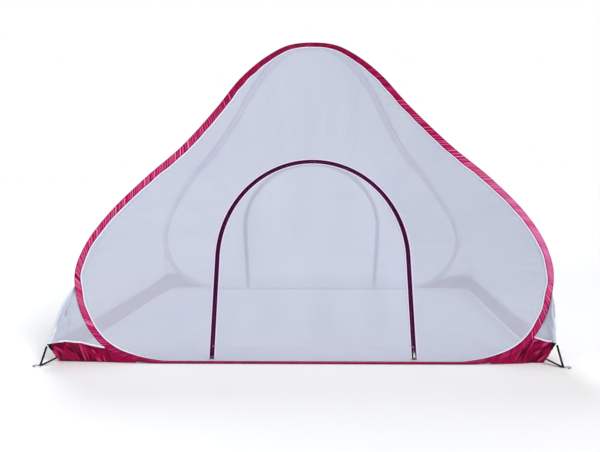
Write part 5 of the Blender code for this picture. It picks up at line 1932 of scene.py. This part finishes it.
@dataclass
class Corner:
    """An elastic with its hook and its sewn tab, drawn at the right front corner of the tent."""

    end: TentEnd
    hand: Hand
    width: float = 0.0160
    thickness: float = 0.0017
    reach: float = 0.032
    side: float = 0.034
    foot: float = 0.0042
    low: float = 0.0200
    wire: float = 0.0015
    hook_reach: float = 0.030
    seat: float = 0.0003
    fold: float = 0.0012 / math.sqrt(2)
    tab_half: float = 0.013
    tab_rows: int = 10
    tab_gap: float = 0.0006
    tab_thickness: float = 0.0013
    hook_shares: tuple[tuple[float, float], ...] = (
        (-1.0, 0.00), (1.0, 0.00), (1.0, 0.20), (0.5, 0.34), (-0.5, 0.40), (-1.3, 0.56),
        (-1.4, 0.78), (-0.8, 0.96), (0.1, 1.00), (0.8, 0.86),
    )

    def __post_init__(self) -> None:
        """Take the corner's place from the band; the left front corner is the right rear one turned."""
        end = self.end
        rear = self.hand is Hand.LEFT
        column = len(end.tops) - 1 - end.corner if rear else end.corner
        flip = FLIP if rear else abs(FLIP)
        self.flip, self.mark = flip, travelled(end.tops)[column]
        self.away = unit(np.array((self.reach, -self.side, 0.0)))
        self.across = np.array((self.away[1], -self.away[0], 0.0))
        self.turn_radius = self.wire + self.seat + self.thickness / 2
        self.top, self.bottom = end.tops[column] * flip, end.bottoms[column] * flip
        stand_off = self.away * (self.fold + self.tab_gap + self.tab_thickness * 0.6)
        self.start = self.top + stand_off - np.array((0.0, 0.0, self.width / 2))
        share = (self.top[2] - self.low) / (self.top[2] - end.band_foot)
        self.finish = self.top * (1 - share) + self.bottom * share + stand_off
        self.bar = np.array((self.top[0], self.top[1], self.foot))
        self.bar = self.bar + self.away * (self.reach - self.turn_radius)

    def strip(self) -> Mesh:
        """The ribbed elastic, looped round the bar of its hook.

        Returns:
            A closed mesh.
        """
        up = np.array((0.0, 0.0, 1.0))
        turns = math.pi / 2 - math.pi * np.linspace(0, 1, 13)
        arc = self.bar + (np.cos(turns)[:, None] * self.away + np.sin(turns)[:, None] * up) * self.turn_radius
        upper = self.start + (arc[0] - self.start) * np.linspace(0, 1, 15)[:-1, None]
        lower = arc[-1] + (self.finish - arc[-1]) * np.linspace(0, 1, 15)[1:, None]
        route = np.concatenate((upper, arc, lower))
        ahead = unit(np.gradient(route, axis=0))
        out = unit(np.cross(ahead, self.across))
        shares = np.linspace(-1, 1, 15)
        ribs = 0.5 * self.thickness * (0.86 + 0.14 * np.abs(np.cos(shares * 3.5 * math.pi)))
        ribs[[0, -1]] *= 0.45
        wide = there_and_back(shares) * self.width / 2
        high = np.concatenate((ribs, -ribs[-2:0:-1]))
        grid = route[:, None] + wide[None, :, None] * self.across + high[None, :, None] * out[:, None]
        span = np.concatenate((wide[:15] + self.width / 2, self.width + np.linspace(0, self.width, 14)))
        return rolled_mesh("corner elastic", grid, travelled(route), span[: len(wide) + 1])

    def tab(self) -> Mesh:
        """The black webbing folded round the band's corner, on which the elastic is sewn.

        Returns:
            A closed mesh.
        """
        marks, _, _, out = self.end.fine
        pick = np.abs(marks - self.mark) <= self.tab_half
        cloth = self.end.cloth[pick][:, : self.tab_rows]
        gaps = (self.tab_gap + self.tab_thickness, self.tab_gap)
        faces = [cloth + gap * out[pick][:, None] for gap in gaps]
        grid = np.concatenate((faces[0], faces[1][:, ::-1]), axis=1) * self.flip
        if self.flip[1] < 0:
            grid = grid[::-1]
        ring = np.linalg.norm(np.diff(grid[0], axis=0, append=grid[0][:1]), axis=1)
        across = np.concatenate(((0.0,), np.cumsum(ring)))
        return rolled_mesh("corner tab", grid, np.arange(len(grid)) * self.end.band_pitch, across)

    def hook(self) -> Mesh:
        """The open hook of bent wire.

        Returns:
            A closed mesh.
        """
        side = self.width / 2 + 2 * self.seat + self.wire
        shares = refined(np.array(self.hook_shares), 5)
        route = self.bar + shares[:, :1] * side * self.across + shares[:, 1:] * self.hook_reach * self.away
        return wire_mesh("corner hook", route, self.wire)


@dataclass
class ApexSeam:
    """The wrap of satin that is sewn round both sleeves at the apex."""

    radius: float = 0.0030
    length: float = 0.060
    sides: int = 24
    rings: int = 61

    def mesh(self) -> Mesh:
        """A gathered roll with rounded ends.

        Returns:
            A closed mesh.
        """
        low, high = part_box("apex_seam")
        middle = (np.array(low) + np.array(high)) / 2
        along = np.linspace(-self.length / 2, self.length / 2, self.rings)
        turns = np.linspace(0, TAU, self.sides, endpoint=False)
        ends = np.sqrt(np.clip(1 - (np.abs(along) / (self.length / 2)) ** 14, 0.05, 1))
        gather = 0.88 + 0.12 * np.cos(TAU * along[:, None] / 0.006 + 2 * np.sin(turns))
        radius = self.radius * ends[:, None] * gather
        grid = middle + np.stack((
            np.broadcast_to(along[:, None], radius.shape), radius * np.cos(turns), radius * np.sin(turns),
        ), axis=-1)
        span = np.linspace(0, TAU * self.radius, self.sides + 1)
        return rolled_mesh("apex seam", grid, along + self.length / 2, span)


# Sub-assemblies


@dataclass
class Hoop:
    """One hoop of the tent: sleeve, piping, net, wire and ferrule."""

    side: Side
    cloth: HoopCloth
    panel: NetPanel

    def build(self, meshes: dict[str, Mesh]) -> None:
        """Set out the hoop's pieces.

        Args:
            meshes: The shapes that both hoops share.
        """
        name, body, turn = self.side.value, self.side.body, self.side.turn
        for shape, part, finish, node in (
            (meshes["sleeve"], "satin_sleeve", SATIN, "hoop_sleeve"),
            (meshes["piping"], "white_piping", PIPING, "hoop_piping"),
            (meshes["panel"], "panel_net", NET, "net_panel"),
            (self.panel.hem, "panel_hem", NET_HEM, None),
            (meshes["lining"], "sleeve_lining_tape", PIPING, None),
        ):
            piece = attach(set_out(shape, f"{name}_{part}", finish, turn), body)
            if node:
                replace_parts(piece, f"{name}_{node}")
        for part in ("hoop_wire", "hoop_ferrule"):
            dress_node(f"{name}_{part}", STEEL)


@dataclass
class DoorWay:
    """One door: its net, zip, bindings, end boxes, slider and pulls."""

    side: Side

    def build(self, meshes: dict[str, Mesh]) -> None:
        """Set out the door's pieces on the panel and on the door.

        Args:
            meshes: The shapes that both doors share.
        """
        name, turn = self.side.value, self.side.turn
        hoop, leaf = self.side.body, f"{name}_door"
        net = set_out(meshes["flap"], f"{name}_door_flap_net", NET, turn)
        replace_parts(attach(net, leaf), f"{name}_door_net")
        for body, half in ((hoop, "outer"), (leaf, "inner")):
            for key, part, finish, node in (
                ("tape", "woven_tape", ZIP_TAPE, "tape"), ("coil", "coil", ZIP_COIL, None),
                ("binding", "white_edge", ZIP_EDGE, "binding"),
            ):
                shape = meshes[f"{half} {key}"]
                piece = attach(set_out(shape, f"{name}_zip_{half}_{part}", finish, turn), body)
                if node:
                    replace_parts(piece, f"{name}_zip_{half}_{node}")
        for hand, where in ((Hand.RIGHT, "slider_side"), (Hand.LEFT, "far_side")):
            place, leg = turn @ hand.mirror, f"{name}_zip_{where}"
            clip = set_out(meshes["clip"], f"{leg}_foot_clip", ENAMEL, place)
            stub = set_out(meshes["stub tape"], f"{leg}_stub_tape", ZIP_TAPE, place)
            for piece in (clip, stub):
                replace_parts(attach(piece, hoop), f"{name}_zip_end_box_{where}")
            for key, finish in (("stub coil", ZIP_COIL), ("foot coil", ZIP_COIL), ("stub binding", ZIP_EDGE)):
                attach(set_out(meshes[key], f"{leg}_{key.replace(' ', '_')}", finish, place), hoop)
        for part, finish in (("zip_slider", ENAMEL), ("pull_outside", NICKEL), ("pull_inside", NICKEL)):
            dress_node(f"{name}_{part}", finish)


@dataclass
class Gable:
    """One end of the tent, between the two hoops."""

    hand: Hand
    end: TentEnd

    def build(self, meshes: dict[str, Mesh]) -> None:
        """Set out the end's net, band and piping.

        Args:
            meshes: The shapes that both ends share.
        """
        name, turn = self.hand.value, self.hand.turn
        net = set_out(meshes["end net"], f"{name}_end_net_cloth", NET, turn)
        band = set_out(meshes["end band"], f"{name}_end_satin_band", BAND_SATIN, turn)
        piping = set_out(meshes["band piping"], f"{name}_end_white_piping", PIPING, turn)
        for piece, node in ((net, "end_net"), (band, "end_band"), (piping, "band_piping")):
            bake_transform(piece)
            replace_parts(piece, f"{name}_{node}")


@dataclass
class CornerSet:
    """The elastics and hooks of one half's base corners."""

    side: Side

    def build(self, meshes: dict[str, Mesh]) -> None:
        """Set out both corners.

        Args:
            meshes: The shapes that all corners share.
        """
        name, body = self.side.value, self.side.body
        for hand in Hand:
            turn = self.side.turn @ hand.mirror
            where = f"{name}_{hand.value}_corner"
            for key, part, finish, node in (
                ("elastic", "strap", ELASTIC, "elastic"), ("tab", "sewn_tab", ELASTIC, None),
                ("hook", "wire_hook", ENAMEL, "hook"),
            ):
                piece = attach(set_out(meshes[f"{hand.value} {key}"], f"{where}_{part}", finish, turn), body)
                if node:
                    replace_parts(piece, f"{where}_{node}")


@dataclass
class Studio:
    """The camera, the lights and the floor."""

    lens: float = 40.17
    sensor_width: float = 36.0
    camera_place: tuple[float, float, float] = (-0.020, -3.582, 0.778)
    pitch_down: float = math.radians(4.52)
    yaw_left: float = math.radians(0.70)
    sky: Colour = (1.0, 1.0, 1.0, 1.0)
    glow: float = 0.40
    softness: float = math.radians(22.0)
    floor_colour: Colour = (0.96, 0.96, 0.965, 1.0)
    floor_reach: float = 60.0

    def build(self) -> None:
        """Set up all of it."""
        self.camera()
        self.world()
        self.soft_light("key", (2.6, -3.0, 3.4), 2.2, (1.0, 0.99, 0.98))
        self.soft_light("fill", (-4.2, -2.6, 1.8), 0.75, (0.95, 0.97, 1.0))
        self.soft_light("back", (-0.8, 4.4, 4.4), 1.1, (0.93, 0.97, 1.0))
        self.floor()

    def camera(self) -> None:
        """The photograph's view, at a frame of 600 by 452."""
        data = bpy.data.cameras.new("camera")
        data.lens = self.lens
        data.sensor_width = self.sensor_width
        seen = placed("camera", data)
        seen.location = self.camera_place
        seen.rotation_euler = (math.pi / 2 - self.pitch_down, 0.0, self.yaw_left)
        bpy.context.scene.camera = seen

    def world(self) -> None:
        """A white surround that sheds less light than it shows."""
        world = bpy.data.worlds.new("studio")
        world.use_nodes = True
        tree = world.node_tree
        seen = tree.nodes.new("ShaderNodeLightPath")
        strength = tree.nodes.new("ShaderNodeMapRange")
        strength.inputs["To Min"].default_value = self.glow
        background = tree.nodes["Background"]
        background.inputs["Color"].default_value = self.sky
        tree.links.new(seen.outputs["Is Camera Ray"], strength.inputs["Value"])
        tree.links.new(strength.outputs["Result"], background.inputs["Strength"])
        bpy.context.scene.world = world
        bpy.context.scene.view_settings.view_transform = "Standard"

    def soft_light(self, name: str, place: tuple[float, float, float], strength: float,
                   tint: tuple[float, float, float]) -> None:
        """Light the tent evenly from one side, as from a large far softbox.

        Args:
            name: The light's name.
            place: A place on the line that it shines along, towards the middle of the tent.
            strength: The light that it sheds on a square metre.
            tint: Its colour.
        """
        data = bpy.data.lights.new(name, "SUN")
        data.angle = self.softness
        data.energy = strength
        data.color = tint
        lamp = placed(name, data)
        lamp.location = place
        aim = Vector((0.0, 0.0, 0.5)) - Vector(place)
        lamp.rotation_euler = aim.to_track_quat("-Z", "Y").to_euler()

    def floor(self) -> None:
        """A plain pale floor."""
        reach = self.floor_reach
        mesh = bpy.data.meshes.new("floor")
        corners = [(x * reach, y * reach, 0.0) for x, y in ((-1, -1), (1, -1), (1, 1), (-1, 1))]
        mesh.from_pydata(corners, [], [(0, 1, 2, 3)])
        finish = Finish("pale_floor", "", self.floor_colour, self.floor_colour, 0.7)
        mesh.materials.append(finish.material())
        placed("floor", mesh)


def main() -> None:
    """Build the tent, one sub-assembly after another."""
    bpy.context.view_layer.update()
    plane = DoorPlane()
    line = HoopLine(plane)
    cloth, panel = HoopCloth(line), NetPanel(line, plane)
    end = TentEnd(line)
    corners = {hand: Corner(end, hand) for hand in Hand}
    meshes = {
        "sleeve": cloth.sleeve(), "piping": cloth.piping(), "lining": cloth.lining(), "panel": panel.mesh(),
        "end net": end.net(), "end band": end.band(), "band piping": end.piping(), **Door(plane).meshes(),
    }
    for hand, corner in corners.items():
        meshes[f"{hand.value} elastic"] = corner.strip()
        meshes[f"{hand.value} tab"] = corner.tab()
        meshes[f"{hand.value} hook"] = corner.hook()
    for side in Side:
        Hoop(side, cloth, panel).build(meshes)
        DoorWay(side).build(meshes)
        CornerSet(side).build(meshes)
    for hand in Hand:
        Gable(hand, end).build(meshes)
    seam = set_out(ApexSeam().mesh(), "apex_satin_seam", SATIN, Matrix.Identity(4))
    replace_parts(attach(seam, FRONT_BODY), "apex_seam")
    Studio().build()


if __name__ == "__main__":
    main()
